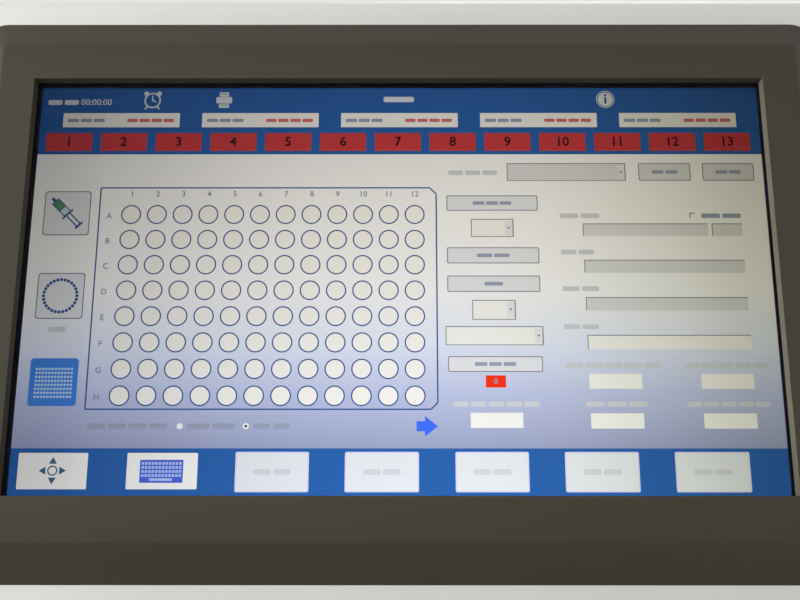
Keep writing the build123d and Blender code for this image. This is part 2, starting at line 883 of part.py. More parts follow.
with BuildPart() as sampler_window:
    with BuildSketch(facing_front(front_y + window_thickness)):
        with Locations((-column_x, bay_middle_z)):
            RectangleRounded(panel_width, panel_height, opening_radius - front_gap)
    extrude(amount=window_thickness)
    with BuildSketch(facing_front(front_y)):
        with Locations((-column_x, bay_low_z + front_gap + lip_height)):
            RectangleRounded(lip_width, lip_height, edge_round)
    extrude(amount=lip_depth)
    with BuildSketch(facing_side(-column_x - panel_width / 2)):
        with Locations((window_axis_y, window_axis_z)):
            Circle(window_pin_radius + bearing_clearance)
    extrude(amount=pin_reach, mode=Mode.SUBTRACT)
    with BuildSketch(facing_side(-column_x + panel_width / 2 - pin_reach)):
        with Locations((window_axis_y, window_axis_z)):
            Circle(window_pin_radius + bearing_clearance)
    extrude(amount=pin_reach, mode=Mode.SUBTRACT)
finish(sampler_window, "sampler_window")

with BuildPart() as service_door:
    with BuildSketch(facing_front(front_y + door_thickness)):
        with Locations((column_x, bay_middle_z)):
            RectangleRounded(panel_width, panel_height, opening_radius - front_gap)
    extrude(amount=door_thickness)
    fillet(service_door.faces().sort_by(Axis.Y)[0].edges(), edge_round)
    with BuildSketch(facing_front(front_y)):
        with Locations((column_x - panel_width / 2 + 2 * door_pull_width, bay_middle_z)):
            RectangleRounded(door_pull_width, bay_opening_height * door_pull_share, door_pull_corner)
    extrude(amount=pull_depth)
    fillet(service_door.faces().sort_by(Axis.Y)[0].edges(), edge_round)
    with BuildSketch(level(bay_low_z + front_gap)):
        with Locations((door_axis_x, door_axis_y)):
            Circle(door_pin_radius + bearing_clearance)
    extrude(amount=pin_reach, mode=Mode.SUBTRACT)
    with BuildSketch(level(bay_high_z - front_gap - pin_reach)):
        with Locations((door_axis_x, door_axis_y)):
            Circle(door_pin_radius + bearing_clearance)
    extrude(amount=pin_reach, mode=Mode.SUBTRACT)
finish(service_door, "service_door")

pin_length = 2 * pin_reach + front_gap

with BuildPart() as hinge_pins:
    with BuildSketch(facing_side(-column_x - column_half - pin_reach)):
        with Locations((window_axis_y, window_axis_z)):
            Circle(window_pin_radius)
    extrude(amount=pin_length)
    with BuildSketch(facing_side(-column_x + column_half + pin_reach)):
        with Locations((window_axis_y, window_axis_z)):
            Circle(window_pin_radius)
    extrude(amount=-pin_length)
    with BuildSketch(level(bay_low_z - pin_reach)):
        with Locations((door_axis_x, door_axis_y)):
            Circle(door_pin_radius)
    extrude(amount=pin_length)
    with BuildSketch(level(bay_high_z + pin_reach)):
        with Locations((door_axis_x, door_axis_y)):
            Circle(door_pin_radius)
    extrude(amount=-pin_length)
finish(hinge_pins, "hinge_pins")

with BuildPart() as sample_port:
    with BuildSketch(facing_front(front_y + port_body)):
        with Locations((0, bay_middle_z)):
            Circle(port_nose_radius)
    extrude(amount=port_body + port_nose)
    with BuildSketch(facing_front(front_y)):
        with Locations((0, bay_middle_z)):
            Circle(port_flange_radius)
    extrude(amount=port_flange)
    fillet(sample_port.edges().filter_by(GeomType.CIRCLE).group_by(Axis.Y)[0], edge_round)
    with BuildSketch(facing_front(front_y - port_nose + port_bore_depth)):
        with Locations((0, bay_middle_z)):
            Circle(port_bore_radius)
    extrude(amount=port_bore_depth, mode=Mode.SUBTRACT)
finish(sample_port, "sample_port")

# Peristaltic pump heads: each rotor carries rollers past a tube laid round the raceway

pump_front_y = pump_plate_y - pump_depth
pump_leg = pump_size / 2 + pump_ledge - tube_tail
raceway_radius = pump_size / 2 - raceway_wall
raceway_back_y = pump_front_y + raceway_depth
roller_radius = raceway_radius * roller_share
roller_circle = raceway_radius - 2 * tube_radius - tube_gap - roller_gap - roller_radius
rotor_hub_radius = (roller_circle - roller_radius) * hub_share
tube_circle = raceway_radius - tube_gap - tube_radius
tube_y = pump_front_y + raceway_depth / 2
rotor_front_y = pump_front_y + rotor_setback
rotor_back_y = raceway_back_y - rotor_setback


def pump_head(centre_z):
    """The block with the round raceway, open to the front, and a channel for each leg of the tube."""
    with BuildPart() as head:
        with BuildSketch(facing_front(pump_plate_y)):
            with Locations((pump_x, centre_z - pump_ledge / 2)):
                RectangleRounded(pump_size, pump_size + pump_ledge, opening_radius)
        extrude(amount=pump_depth)
        with BuildSketch(facing_front(raceway_back_y)):
            with Locations((pump_x, centre_z)):
                Circle(raceway_radius)
            with Locations((pump_x, centre_z - pump_leg / 2)):
                with GridLocations(2 * tube_circle, 0, 2, 1):
                    Rectangle(2 * (tube_radius + tube_gap), pump_leg)
        extrude(amount=raceway_depth, mode=Mode.SUBTRACT)
        with BuildSketch(facing_front(pump_plate_y)):
            with Locations((pump_x, centre_z)):
                Circle(shaft_radius + bearing_clearance)
        extrude(amount=pump_depth - raceway_depth, mode=Mode.SUBTRACT)
    return head


def pump_rotor(centre_z):
    """Two flanges on a hub, with the rollers between them and the shaft behind."""
    with BuildPart() as rotor:
        with BuildSketch(facing_front(rotor_back_y)):
            with Locations((pump_x, centre_z)):
                Circle(rotor_hub_radius)
                with PolarLocations(roller_circle, roller_count, start_angle=90):
                    Circle(roller_radius)
        extrude(amount=rotor_back_y - rotor_front_y)
        for flange_y in (rotor_back_y, rotor_front_y + rotor_flange):
            with BuildSketch(facing_front(flange_y)):
                with Locations((pump_x, centre_z)):
                    Circle(roller_circle + rotor_rim)
            extrude(amount=rotor_flange)
        with BuildSketch(facing_front(inner_front_y + pump_bay_depth + shaft_reach)):
            with Locations((pump_x, centre_z)):
                Circle(shaft_radius)
        extrude(amount=inner_front_y + pump_bay_depth + shaft_reach - rotor_back_y)
    return rotor


def pump_tube(centre_z):
    """The tube: down one channel, round the top of the raceway and back down."""
    left = pump_x - tube_circle
    right = pump_x + tube_circle
    with BuildPart() as tube:
        with BuildLine(facing_front(tube_y)):
            Line((left, centre_z - pump_leg), (left, centre_z))
            ThreePointArc((left, centre_z), (pump_x, centre_z + tube_circle), (right, centre_z))
            Line((right, centre_z), (right, centre_z - pump_leg))
        with BuildSketch(Plane(origin=(left, tube_y, centre_z - pump_leg), z_dir=(0, 0, 1))):
            Circle(tube_radius)
        sweep()
    return tube


for place, centre_z in pump_centres.items():
    finish(pump_head(centre_z), f"pump_head_{place}")
    finish(pump_rotor(centre_z), f"pump_rotor_{place}")
    finish(pump_tube(centre_z), f"pump_tube_{place}")

with BuildPart() as pump_motors:
    motor_spots = [(pump_x, height) for height in pump_centres.values()]
    with BuildSketch(facing_front(inner_front_y + pump_bay_depth + motor_length)):
        with Locations(*motor_spots):
            Circle(motor_radius)
    extrude(amount=motor_length)
    with BuildSketch(facing_front(inner_front_y + pump_bay_depth + shaft_reach + slide_clearance)):
        with Locations(*motor_spots):
            Circle(shaft_radius + bearing_clearance)
    extrude(amount=shaft_reach + slide_clearance, mode=Mode.SUBTRACT)
finish(pump_motors, "pump_motors")

# Sensor module, with a slot for the sensor card and a lever that turns across it

module_width = opening_width - pump_side - pump_size - module_gap - module_side
module_height = bay_opening_height - 2 * module_margin
module_x = column_x + column_half - module_side - module_width / 2
module_low_z = bay_low_z + module_margin
module_front_y = pump_plate_y - module_depth
lever_z = module_low_z + module_height * lever_share
lever_length = module_height * lever_length_share

with BuildPart() as sensor_module:
    with BuildSketch(facing_front(pump_plate_y)):
        with Locations((module_x, module_low_z + module_height / 2)):
            RectangleRounded(module_width, module_height, opening_radius)
    extrude(amount=module_depth)
    fillet(sensor_module.faces().sort_by(Axis.Y)[0].edges(), edge_round)
    with BuildSketch(facing_front(module_front_y + card_slot_depth)):
        with Locations((module_x, module_low_z + module_height * card_slot_share)):
            Rectangle(module_width - 2 * card_slot_border, card_slot_height)
    extrude(amount=card_slot_depth, mode=Mode.SUBTRACT)
    with BuildSketch(facing_front(module_front_y)):
        with Locations((module_x, lever_z)):
            Circle(lever_pin_radius)
    extrude(amount=lever_thickness + slide_clearance)
finish(sensor_module, "sensor_module")

with BuildPart() as latch_lever:
    with BuildSketch(facing_front(module_front_y - slide_clearance)):
        with Locations((module_x, lever_z + lever_length / 2)):
            SlotOverall(lever_length + lever_width, lever_width, rotation=90)
        with Locations((module_x, lever_z)):
            Circle(lever_pin_radius + bearing_clearance, mode=Mode.SUBTRACT)
    extrude(amount=lever_thickness)
finish(latch_lever, "latch_lever")

# Reagent packs and the waste bottle, side by side in the reagent tray

tray_inner_width = 2 * (tray_half - tray_wall)
pack_width = (tray_inner_width - (pack_count - 1) * pack_gap - 2 * pack_margin) / pack_count


def reagent_pack(place, height):
    """A flat-sided bottle with a screw cap near its front; place counts from the left."""
    centre_x = column_x + place * (pack_width + pack_gap)
    front = tray_front_y + tray_wall + pack_gap
    with BuildPart() as pack:
        with BuildSketch(level(tray_floor_z)):
            with Locations((centre_x, front + pack_length / 2)):
                RectangleRounded(pack_width, pack_length, pack_corner)
        extrude(amount=height)
        fillet(pack.faces().sort_by(Axis.Z)[-1].edges(), pack_corner / 2)
        with BuildSketch(level(tray_floor_z + height)):
            with Locations((centre_x, front + cap_from_front)):
                Circle(cap_radius)
        extrude(amount=cap_height)
    return pack


finish(reagent_pack(-1, pack_height), "calibrator_pack")
finish(reagent_pack(0, pack_height), "buffer_pack")
finish(reagent_pack(1, waste_height), "waste_bottle")

# Rear: fan, power entry, connectors, power supply and main board

fan_front_y = inner_back_y - fan_depth
hub_back_y = fan_front_y + strut_depth + slide_clearance + fan_hub_depth
strut_length = 2 * (fan_bore_radius + edge_round)

with BuildPart() as fan_frame:
    with BuildSketch(facing_front(inner_back_y)):
        with Locations((fan_x, fan_z)):
            RectangleRounded(fan_size, fan_size, opening_radius)
            Circle(fan_bore_radius, mode=Mode.SUBTRACT)
    extrude(amount=fan_depth)
    with BuildSketch(facing_front(fan_front_y + strut_depth)):
        with Locations((fan_x, fan_z)):
            Circle(fan_hub_radius)
            Rectangle(strut_length, strut_width)
            Rectangle(strut_width, strut_length)
            Circle(fan_shaft_radius + bearing_clearance, mode=Mode.SUBTRACT)
    extrude(amount=strut_depth)
finish(fan_frame, "fan_frame")

with BuildPart() as fan_rotor:
    with BuildSketch(facing_front(hub_back_y)):
        with Locations((fan_x, fan_z)):
            Circle(fan_hub_radius)
    extrude(amount=fan_hub_depth)
    with BuildSketch(facing_front(hub_back_y - fan_hub_depth)):
        with Locations((fan_x, fan_z)):
            Circle(fan_shaft_radius)
    extrude(amount=strut_depth)
    blade_length = fan_blade_radius - fan_hub_radius + edge_round
    with Locations(Plane(origin=(fan_x, hub_back_y - fan_hub_depth / 2, fan_z), z_dir=(0, -1, 0)).location):
        with PolarLocations(fan_blade_radius - blade_length / 2, fan_blades):
            Box(blade_length, blade_width, blade_thickness, rotation=(blade_pitch, 0, 0))
finish(fan_rotor, "fan_rotor")

with BuildPart() as fan_guard:
    ring_step = fan_bore_radius / guard_rings
    with BuildSketch(facing_front(back_y + guard_depth)):
        with Locations((fan_x, fan_z)):
            for ring in range(1, guard_rings + 1):
                Circle(ring * ring_step + guard_ring_width / 2)
                Circle(ring * ring_step - guard_ring_width / 2, mode=Mode.SUBTRACT)
            Rectangle(2 * fan_bore_radius, guard_spoke_width)
            Rectangle(guard_spoke_width, 2 * fan_bore_radius)
    extrude(amount=guard_ring_width)
    with BuildSketch(facing_front(back_y + guard_depth)):
        with Locations((fan_x, fan_z)):
            with PolarLocations(fan_bore_radius + guard_ring_width, guard_posts):
                Circle(guard_spoke_width)
    extrude(amount=guard_depth)
finish(fan_guard, "fan_guard")

rocker_x = entry_x - inlet_shift
socket_x = entry_x + inlet_shift - entry_border
rocker_y = back_y - rocker_setback
cavity_height = 2 * (rocker_radius + rocker_clearance)

with BuildPart() as power_entry:
    with BuildSketch(facing_front(back_y + entry_flange)):
        with Locations((entry_x, entry_z)):
            RectangleRounded(entry_width, entry_height, entry_border)
    extrude(amount=entry_flange)
    with BuildSketch(facing_front(back_y)):
        with Locations((entry_x, entry_z)):
            body_border = entry_border + slide_clearance
            Rectangle(entry_width - 2 * body_border, entry_height - 2 * body_border)
    extrude(amount=entry_depth)
    with BuildSketch(facing_front(back_y + entry_flange)):
        with Locations((socket_x, entry_z)):
            Rectangle(inlet_width, inlet_height)
    extrude(amount=inlet_depth, mode=Mode.SUBTRACT)
    with BuildSketch(facing_front(back_y + entry_flange - inlet_depth + inlet_pin_length)):
        with Locations((socket_x, entry_z)):
            with GridLocations(inlet_pin_spread, 0, inlet_pins, 1):
                Rectangle(inlet_pin_width, inlet_pin_height)
    extrude(amount=inlet_pin_length)
    with BuildSketch(facing_front(back_y + entry_flange)):
        with Locations((rocker_x, entry_z)):
            Rectangle(rocker_width + 2 * rocker_clearance, cavity_height)
    extrude(amount=entry_flange + rocker_setback + rocker_radius + rocker_clearance, mode=Mode.SUBTRACT)
finish(power_entry, "power_entry")

with BuildPart() as power_rocker:
    with BuildSketch(facing_side(rocker_x - rocker_width / 2)):
        with Locations((rocker_y, entry_z)):
            Circle(rocker_radius)
        for lean in (0, -2 * rocker_rest):
            with Locations(Location((rocker_y, entry_z), lean)):
                with Locations((rocker_face + rocker_radius / 2, 0)):
                    Rectangle(rocker_radius, 3 * rocker_radius, mode=Mode.SUBTRACT)
    extrude(amount=rocker_width)
finish(power_rocker, "power_rocker")

with BuildPart() as connector_block:
    with BuildSketch(facing_front(back_y)):
        with Locations((connector_x, connector_z)):
            inset = 2 * slide_clearance
            Rectangle(connector_width - inset, connector_height - inset)
    extrude(amount=connector_depth)
    with BuildSketch(facing_front(back_y)):
        with Locations((connector_x, connector_z)):
            with GridLocations(network_spread, 0, 2, 1):
                Rectangle(network_width, network_height)
            with GridLocations(serial_spread, 0, 2, 1):
                Rectangle(serial_width, serial_height)
    extrude(amount=socket_depth, mode=Mode.SUBTRACT)
finish(connector_block, "connector_block")

supply_front_y = bulkhead_y + bulkhead_thickness + supply_gap
supply_back_y = back_y - supply_from_back - entry_depth

with BuildPart() as power_supply:
    with BuildSketch(level(deck_z)):
        with Locations((entry_x, (supply_front_y + supply_back_y) / 2)):
            RectangleRounded(supply_width, supply_back_y - supply_front_y, edge_round)
    extrude(amount=supply_height)
finish(power_supply, "power_supply")

board_y = bulkhead_y + bulkhead_thickness
board_z = base_z + board_high + board_height / 2

with BuildPart() as main_board:
    with BuildSketch(facing_front(board_y + board_standoff)):
        with Locations((0, board_z)):
            with GridLocations(board_width - 2 * board_standoff, board_height - 2 * board_standoff, 2, 2):
                Circle(guide_radius)
    extrude(amount=board_standoff)
    with BuildSketch(facing_front(board_y + board_standoff + board_thickness)):
        with Locations((0, board_z)):
            Rectangle(board_width, board_height)
    extrude(amount=board_thickness)
    sink_y = board_y + board_standoff + board_thickness
    with BuildSketch(facing_front(sink_y + board_thickness)):
        with Locations((0, board_z)):
            Rectangle(heat_sink, heat_sink)
    extrude(amount=board_thickness)
    with BuildSketch(facing_front(sink_y + heat_sink_height)):
        with Locations((0, board_z)):
            with GridLocations(heat_sink / heat_sink_fins, 0, heat_sink_fins, 1):
                Rectangle(board_thickness, heat_sink)
    extrude(amount=heat_sink_height - board_thickness)
finish(main_board, "main_board")
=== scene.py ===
import bmesh
import bpy
import json
import math
from mathutils import Matrix, Vector


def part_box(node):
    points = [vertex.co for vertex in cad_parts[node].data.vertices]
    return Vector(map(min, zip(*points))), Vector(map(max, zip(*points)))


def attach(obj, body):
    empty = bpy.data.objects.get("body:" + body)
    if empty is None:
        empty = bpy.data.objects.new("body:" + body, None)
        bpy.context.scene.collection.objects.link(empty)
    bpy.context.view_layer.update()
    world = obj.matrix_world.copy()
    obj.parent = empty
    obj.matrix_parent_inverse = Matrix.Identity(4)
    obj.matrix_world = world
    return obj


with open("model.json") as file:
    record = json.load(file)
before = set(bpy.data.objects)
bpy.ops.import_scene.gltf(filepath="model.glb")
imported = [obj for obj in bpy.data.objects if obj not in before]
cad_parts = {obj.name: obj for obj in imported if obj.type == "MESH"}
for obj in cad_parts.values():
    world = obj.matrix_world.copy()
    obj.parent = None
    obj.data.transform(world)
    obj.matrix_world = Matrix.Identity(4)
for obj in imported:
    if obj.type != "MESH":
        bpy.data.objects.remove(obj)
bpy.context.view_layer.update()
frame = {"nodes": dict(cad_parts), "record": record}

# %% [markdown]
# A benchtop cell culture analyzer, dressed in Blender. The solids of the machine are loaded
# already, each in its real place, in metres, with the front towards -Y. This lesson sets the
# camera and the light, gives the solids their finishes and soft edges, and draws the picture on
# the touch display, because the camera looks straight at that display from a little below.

MM = 0.001
nodes = frame["nodes"]
record = frame["record"]

# %% [markdown]
# The display leans back by 15 degrees. Everything on it is easiest to place in the display's own
# axes: x to the right, y up along the glass and z out of it, in millimetres from the middle of
# the picture. One matrix turns such a place into the machine's frame, in metres. The middle is
# read from the box of the display panel, whose front face is the plane of the picture. The
# picture sits half a millimetre to the right and low in the bezel's opening, as the photograph shows.

# %% The display's own axes
SCREEN_TILT = math.radians(15)
PANEL_THICKNESS = 5
PICTURE_SHIFT = 0.45
screen_out = Vector((0, -math.cos(SCREEN_TILT), math.sin(SCREEN_TILT)))
screen_up = Vector((0, math.sin(SCREEN_TILT), math.cos(SCREEN_TILT)))
panel_low, panel_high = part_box("lcd_panel")
screen_middle = (panel_low + panel_high) / 2 + screen_out * (PANEL_THICKNESS / 2 * MM)
screen_middle += (Vector((1, 0, 0)) - screen_up) * (PICTURE_SHIFT * MM)
screen_matrix = Matrix((
    (MM, 0, 0, screen_middle.x),
    (0, screen_up.y * MM, screen_out.y * MM, screen_middle.y),
    (0, screen_up.z * MM, screen_out.z * MM, screen_middle.z),
    (0, 0, 0, 1),
))
print("middle of the picture", [round(v, 4) for v in screen_middle])

# %% [markdown]
# The camera stands where the photographer stood: almost level, 46 cm in front of the glass and
# 12 cm below the middle of the picture, as measured along the display. The lens is worked out from
# the way that the upright edges of the picture draw together towards the top.

# %% Camera
CAMERA_PLACE = Vector((1.39, -121.41, 457.59))
CAMERA_PITCH = math.radians(-1.15)
CAMERA_YAW = math.radians(0.12)
CAMERA_LENS = 46.2
camera_data = bpy.data.cameras.new("camera")
camera_data.lens = CAMERA_LENS
camera_data.sensor_width = 36
camera_data.clip_start = 0.01
camera = bpy.data.objects.new("camera", camera_data)
bpy.context.collection.objects.link(camera)
camera.location = screen_matrix @ CAMERA_PLACE
camera.rotation_mode = "ZYX"
camera.rotation_euler = (math.radians(90) + CAMERA_PITCH, CAMERA_YAW, 0)
bpy.context.scene.camera = camera
bpy.context.scene.view_settings.view_transform = "Standard"
print("camera at", [round(v, 3) for v in camera.location])

# %% [markdown]
# A plain pale floor carries the machine. The room is a soft grey light from all sides, and
# the camera, the gloss and the glass see it as white. A large lamp at the upper left gives the
# bezel its brighter left side and its shaded right one. A narrow lamp skims over the glass from
# the left and lights the right wall of the bezel's opening.

# %% Floor, room and lamps
def shader(name):
    """A new material, with its Principled shader and its node tree."""
    material = bpy.data.materials.new(name)
    material.use_nodes = True
    tree = material.node_tree
    return material, tree.nodes["Principled BSDF"], tree


def join(tree, from_socket, to_socket):
    tree.links.new(from_socket, to_socket)


ROOM_LIGHT = 0.36
world = bpy.data.worlds.new("room")
world.use_nodes = True
bpy.context.scene.world = world
room = world.node_tree
room.nodes.clear()
soft_light = room.nodes.new("ShaderNodeBackground")
soft_light.inputs["Strength"].default_value = ROOM_LIGHT
white_room = room.nodes.new("ShaderNodeBackground")
white_room.inputs["Strength"].default_value = 1.0
light_path = room.nodes.new("ShaderNodeLightPath")
camera_or_gloss = room.nodes.new("ShaderNodeMath")
camera_or_gloss.operation = "MAXIMUM"
seen = room.nodes.new("ShaderNodeMath")
seen.operation = "MAXIMUM"
choose = room.nodes.new("ShaderNodeMixShader")
room_out = room.nodes.new("ShaderNodeOutputWorld")
join(room, light_path.outputs["Is Camera Ray"], camera_or_gloss.inputs[0])
join(room, light_path.outputs["Is Glossy Ray"], camera_or_gloss.inputs[1])
join(room, camera_or_gloss.outputs[0], seen.inputs[0])
join(room, light_path.outputs["Is Transmission Ray"], seen.inputs[1])
join(room, seen.outputs[0], choose.inputs["Fac"])
join(room, soft_light.outputs[0], choose.inputs[1])
join(room, white_room.outputs[0], choose.inputs[2])
join(room, choose.outputs[0], room_out.inputs["Surface"])


def soft_lamp(name, place, aim, size, power):
    """A square soft lamp at a place, turned towards a point."""
    data = bpy.data.lights.new(name, "AREA")
    data.size = size
    data.energy = power
    lamp = bpy.data.objects.new(name, data)
    bpy.context.collection.objects.link(lamp)
    lamp.location = place
    lamp.rotation_euler = (Vector(aim) - Vector(place)).to_track_quat("-Z", "Y").to_euler()
    return lamp


soft_lamp("key_lamp", (-1.15, -0.8, 1.0), screen_middle, 0.6, 17)
soft_lamp("back_lamp", (0.8, 2.2, 2.0), (0, 0, 0.3), 1.8, 44)
soft_lamp("side_lamp", (2.2, -0.4, 1.4), (0.26, 0, 0.3), 1.6, 18)

# The skimming lamp is long and narrow with a tight beam, and it is placed in the display's axes
SKIM_LENGTH = 0.22
SKIM_WIDTH = 0.03
SKIM_SPREAD = math.radians(8)
skim_from = screen_matrix @ Vector((-520, 0, 55))
skim_to = screen_matrix @ Vector((173.8, 0, 3.6))
skim_lamp = soft_lamp("skim_lamp", skim_from, skim_to, SKIM_LENGTH, 0.08)
skim_lamp.data.shape = "RECTANGLE"
skim_lamp.data.size_y = SKIM_WIDTH
skim_lamp.data.spread = SKIM_SPREAD
skim_back = (skim_from - skim_to).normalized()
skim_along = skim_back.cross(screen_out).normalized()
skim_axes = Matrix((skim_along, skim_back.cross(skim_along), skim_back))
skim_lamp.rotation_euler = skim_axes.transposed().to_euler()

FLOOR_REACH = 8
floor_mesh = bpy.data.meshes.new("floor")
floor_shape = bmesh.new()
bmesh.ops.create_grid(floor_shape, x_segments=1, y_segments=1, size=FLOOR_REACH)
floor_shape.to_mesh(floor_mesh)
floor_shape.free()
floor = bpy.data.objects.new("floor", floor_mesh)
bpy.context.collection.objects.link(floor)
floor_finish, floor_bsdf, _ = shader("pale_floor")
floor_bsdf.inputs["Base Color"].default_value = (0.80, 0.80, 0.79, 1)
floor_bsdf.inputs["Roughness"].default_value = 0.6
floor_mesh.materials.append(floor_finish)

# %% [markdown]
# Moulded plastic is never quite even: the mould's fine texture breaks up the gloss, and the
# colour drifts a little. One node group makes both from noise in Object coordinates, which
# are metres here, and each plastic, paint or metal takes it with its own values. Edges that
# hands and cloths rub get a lighter tone from a second group, which compares the surface with
# a Bevel node's rounded normal to find them.

# %% Node groups for grain and for worn edges
SPECKLE = 0.10
TONE_SWING = 2.0
ROUGHNESS_SWING = 1.5
EDGE_CONTRAST = 8.0
PATCH_SCALE = 160.0


def new_group(name, inputs, outputs):
    """A shader node group with float or colour sockets; returns the tree and its two ends."""
    tree = bpy.data.node_groups.new(name, "ShaderNodeTree")
    for label, kind, value in inputs:
        socket = tree.interface.new_socket(label, in_out="INPUT", socket_type=kind)
        if value is not None:
            socket.default_value = value
    for label, kind in outputs:
        tree.interface.new_socket(label, in_out="OUTPUT", socket_type=kind)
    return tree, tree.nodes.new("NodeGroupInput"), tree.nodes.new("NodeGroupOutput")


def noise(tree, scale_socket, coordinates, detail=2.0):
    texture = tree.nodes.new("ShaderNodeTexNoise")
    texture.inputs["Detail"].default_value = detail
    join(tree, coordinates, texture.inputs["Vector"])
    join(tree, scale_socket, texture.inputs["Scale"])
    return texture.outputs["Fac"]


def math_node(tree, operation, first, second):
    """A Math node; each input is a socket or a number."""
    node = tree.nodes.new("ShaderNodeMath")
    node.operation = operation
    for socket, value in zip(node.inputs, (first, second)):
        if isinstance(value, (int, float)):
            socket.default_value = value
        else:
            join(tree, value, socket)
    return node.outputs[0]


grain, grain_in, grain_out = new_group(
    "mould_grain",
    (
        ("Grain Scale", "NodeSocketFloat", 2200.0),
        ("Drift Scale", "NodeSocketFloat", 9.0),
        ("Drift", "NodeSocketFloat", 0.06),
        ("Colour", "NodeSocketColor", (0.5, 0.5, 0.5, 1)),
        ("Roughness", "NodeSocketFloat", 0.5),
    ),
    (("Colour", "NodeSocketColor"), ("Roughness", "NodeSocketFloat"), ("Height", "NodeSocketFloat")),
)
grain_place = grain.nodes.new("ShaderNodeTexCoord").outputs["Object"]
fine = noise(grain, grain_in.outputs["Grain Scale"], grain_place)
drift = noise(grain, grain_in.outputs["Drift Scale"], grain_place, 4.0)
drift_from_middle = math_node(grain, "SUBTRACT", drift, 0.5)
swing = math_node(grain, "MULTIPLY", drift_from_middle, grain_in.outputs["Drift"])
speckle = math_node(grain, "MULTIPLY", math_node(grain, "SUBTRACT", fine, 0.5), SPECKLE)
tone_change = math_node(grain, "ADD", math_node(grain, "MULTIPLY", swing, TONE_SWING), speckle)
tone = math_node(grain, "ADD", tone_change, 1.0)
toned = grain.nodes.new("ShaderNodeVectorMath")
toned.operation = "SCALE"
join(grain, grain_in.outputs["Colour"], toned.inputs[0])
join(grain, tone, toned.inputs["Scale"])
join(grain, toned.outputs[0], grain_out.inputs["Colour"])
roughness_change = math_node(grain, "MULTIPLY", swing, ROUGHNESS_SWING)
rougher = math_node(grain, "ADD", grain_in.outputs["Roughness"], roughness_change)
join(grain, rougher, grain_out.inputs["Roughness"])
join(grain, fine, grain_out.inputs["Height"])

wear, wear_in, wear_out = new_group(
    "rubbed_edges",
    (
        ("Colour", "NodeSocketColor", (0.5, 0.5, 0.5, 1)),
        ("Rubbed Colour", "NodeSocketColor", (0.8, 0.8, 0.8, 1)),
        ("Width", "NodeSocketFloat", 0.0008),
        ("Amount", "NodeSocketFloat", 0.4),
    ),
    (("Colour", "NodeSocketColor"),),
)
bevelled = wear.nodes.new("ShaderNodeBevel")
join(wear, wear_in.outputs["Width"], bevelled.inputs["Radius"])
surface = wear.nodes.new("ShaderNodeNewGeometry")
alike = wear.nodes.new("ShaderNodeVectorMath")
alike.operation = "DOT_PRODUCT"
join(wear, bevelled.outputs[0], alike.inputs[0])
join(wear, surface.outputs["Normal"], alike.inputs[1])
unlike = math_node(wear, "SUBTRACT", 1.0, alike.outputs["Value"])
sharp = math_node(wear, "MULTIPLY", unlike, EDGE_CONTRAST)
patch_scale = wear.nodes.new("ShaderNodeValue").outputs[0]
patch_scale.default_value = PATCH_SCALE
patchy = noise(wear, patch_scale, wear.nodes.new("ShaderNodeTexCoord").outputs["Object"])
worn = math_node(wear, "MULTIPLY", sharp, patchy)
rubbed = math_node(wear, "MULTIPLY", worn, wear_in.outputs["Amount"])
rubbed_mix = wear.nodes.new("ShaderNodeMix")
rubbed_mix.data_type = "RGBA"
rubbed_mix.clamp_factor = True
join(wear, rubbed, rubbed_mix.inputs["Factor"])
join(wear, wear_in.outputs["Colour"], rubbed_mix.inputs["A"])
join(wear, wear_in.outputs["Rubbed Colour"], rubbed_mix.inputs["B"])
join(wear, rubbed_mix.outputs["Result"], wear_out.inputs["Colour"])


# %% [markdown]
# Each finish of the machine is one material. A single function builds nearly all of them, since
# they differ only in values: the colour, how rough and how metallic they are, the size and
# depth of the grain, and how much lighter their rubbed edges are.

# %% One function for the moulded, painted and metal finishes
def finish_of(name, colour, roughness, metallic=0.0, grain_scale=2200.0, grain_depth=0.02,
              drift=0.06, rubbed=0.3, lighter=1.35, gloss=0.5):
    """A plastic, paint or metal with mould grain and rubbed edges; grain_depth is in millimetres."""
    material, bsdf, tree = shader(name)
    texture = tree.nodes.new("ShaderNodeGroup")
    texture.node_tree = grain
    texture.inputs["Grain Scale"].default_value = grain_scale
    texture.inputs["Drift"].default_value = drift
    texture.inputs["Colour"].default_value = (*colour, 1)
    texture.inputs["Roughness"].default_value = roughness
    edges = tree.nodes.new("ShaderNodeGroup")
    edges.node_tree = wear
    edges.inputs["Amount"].default_value = rubbed
    edges.inputs["Rubbed Colour"].default_value = (*[min(1.0, c * lighter) for c in colour], 1)
    join(tree, texture.outputs["Colour"], edges.inputs["Colour"])
    join(tree, edges.outputs["Colour"], bsdf.inputs["Base Color"])
    join(tree, texture.outputs["Roughness"], bsdf.inputs["Roughness"])
    bump = tree.nodes.new("ShaderNodeBump")
    bump.inputs["Distance"].default_value = grain_depth * MM
    join(tree, texture.outputs["Height"], bump.inputs["Height"])
    join(tree, bump.outputs[0], bsdf.inputs["Normal"])
    bsdf.inputs["Metallic"].default_value = metallic
    bsdf.inputs["Specular IOR Level"].default_value = gloss
    return material


def clear_finish(name, colour, roughness, index):
    """A see-through plastic or glass."""
    material, bsdf, _ = shader(name)
    bsdf.inputs["Base Color"].default_value = (*colour, 1)
    bsdf.inputs["Roughness"].default_value = roughness
    bsdf.inputs["IOR"].default_value = index
    bsdf.inputs["Transmission Weight"].default_value = 1.0
    return material


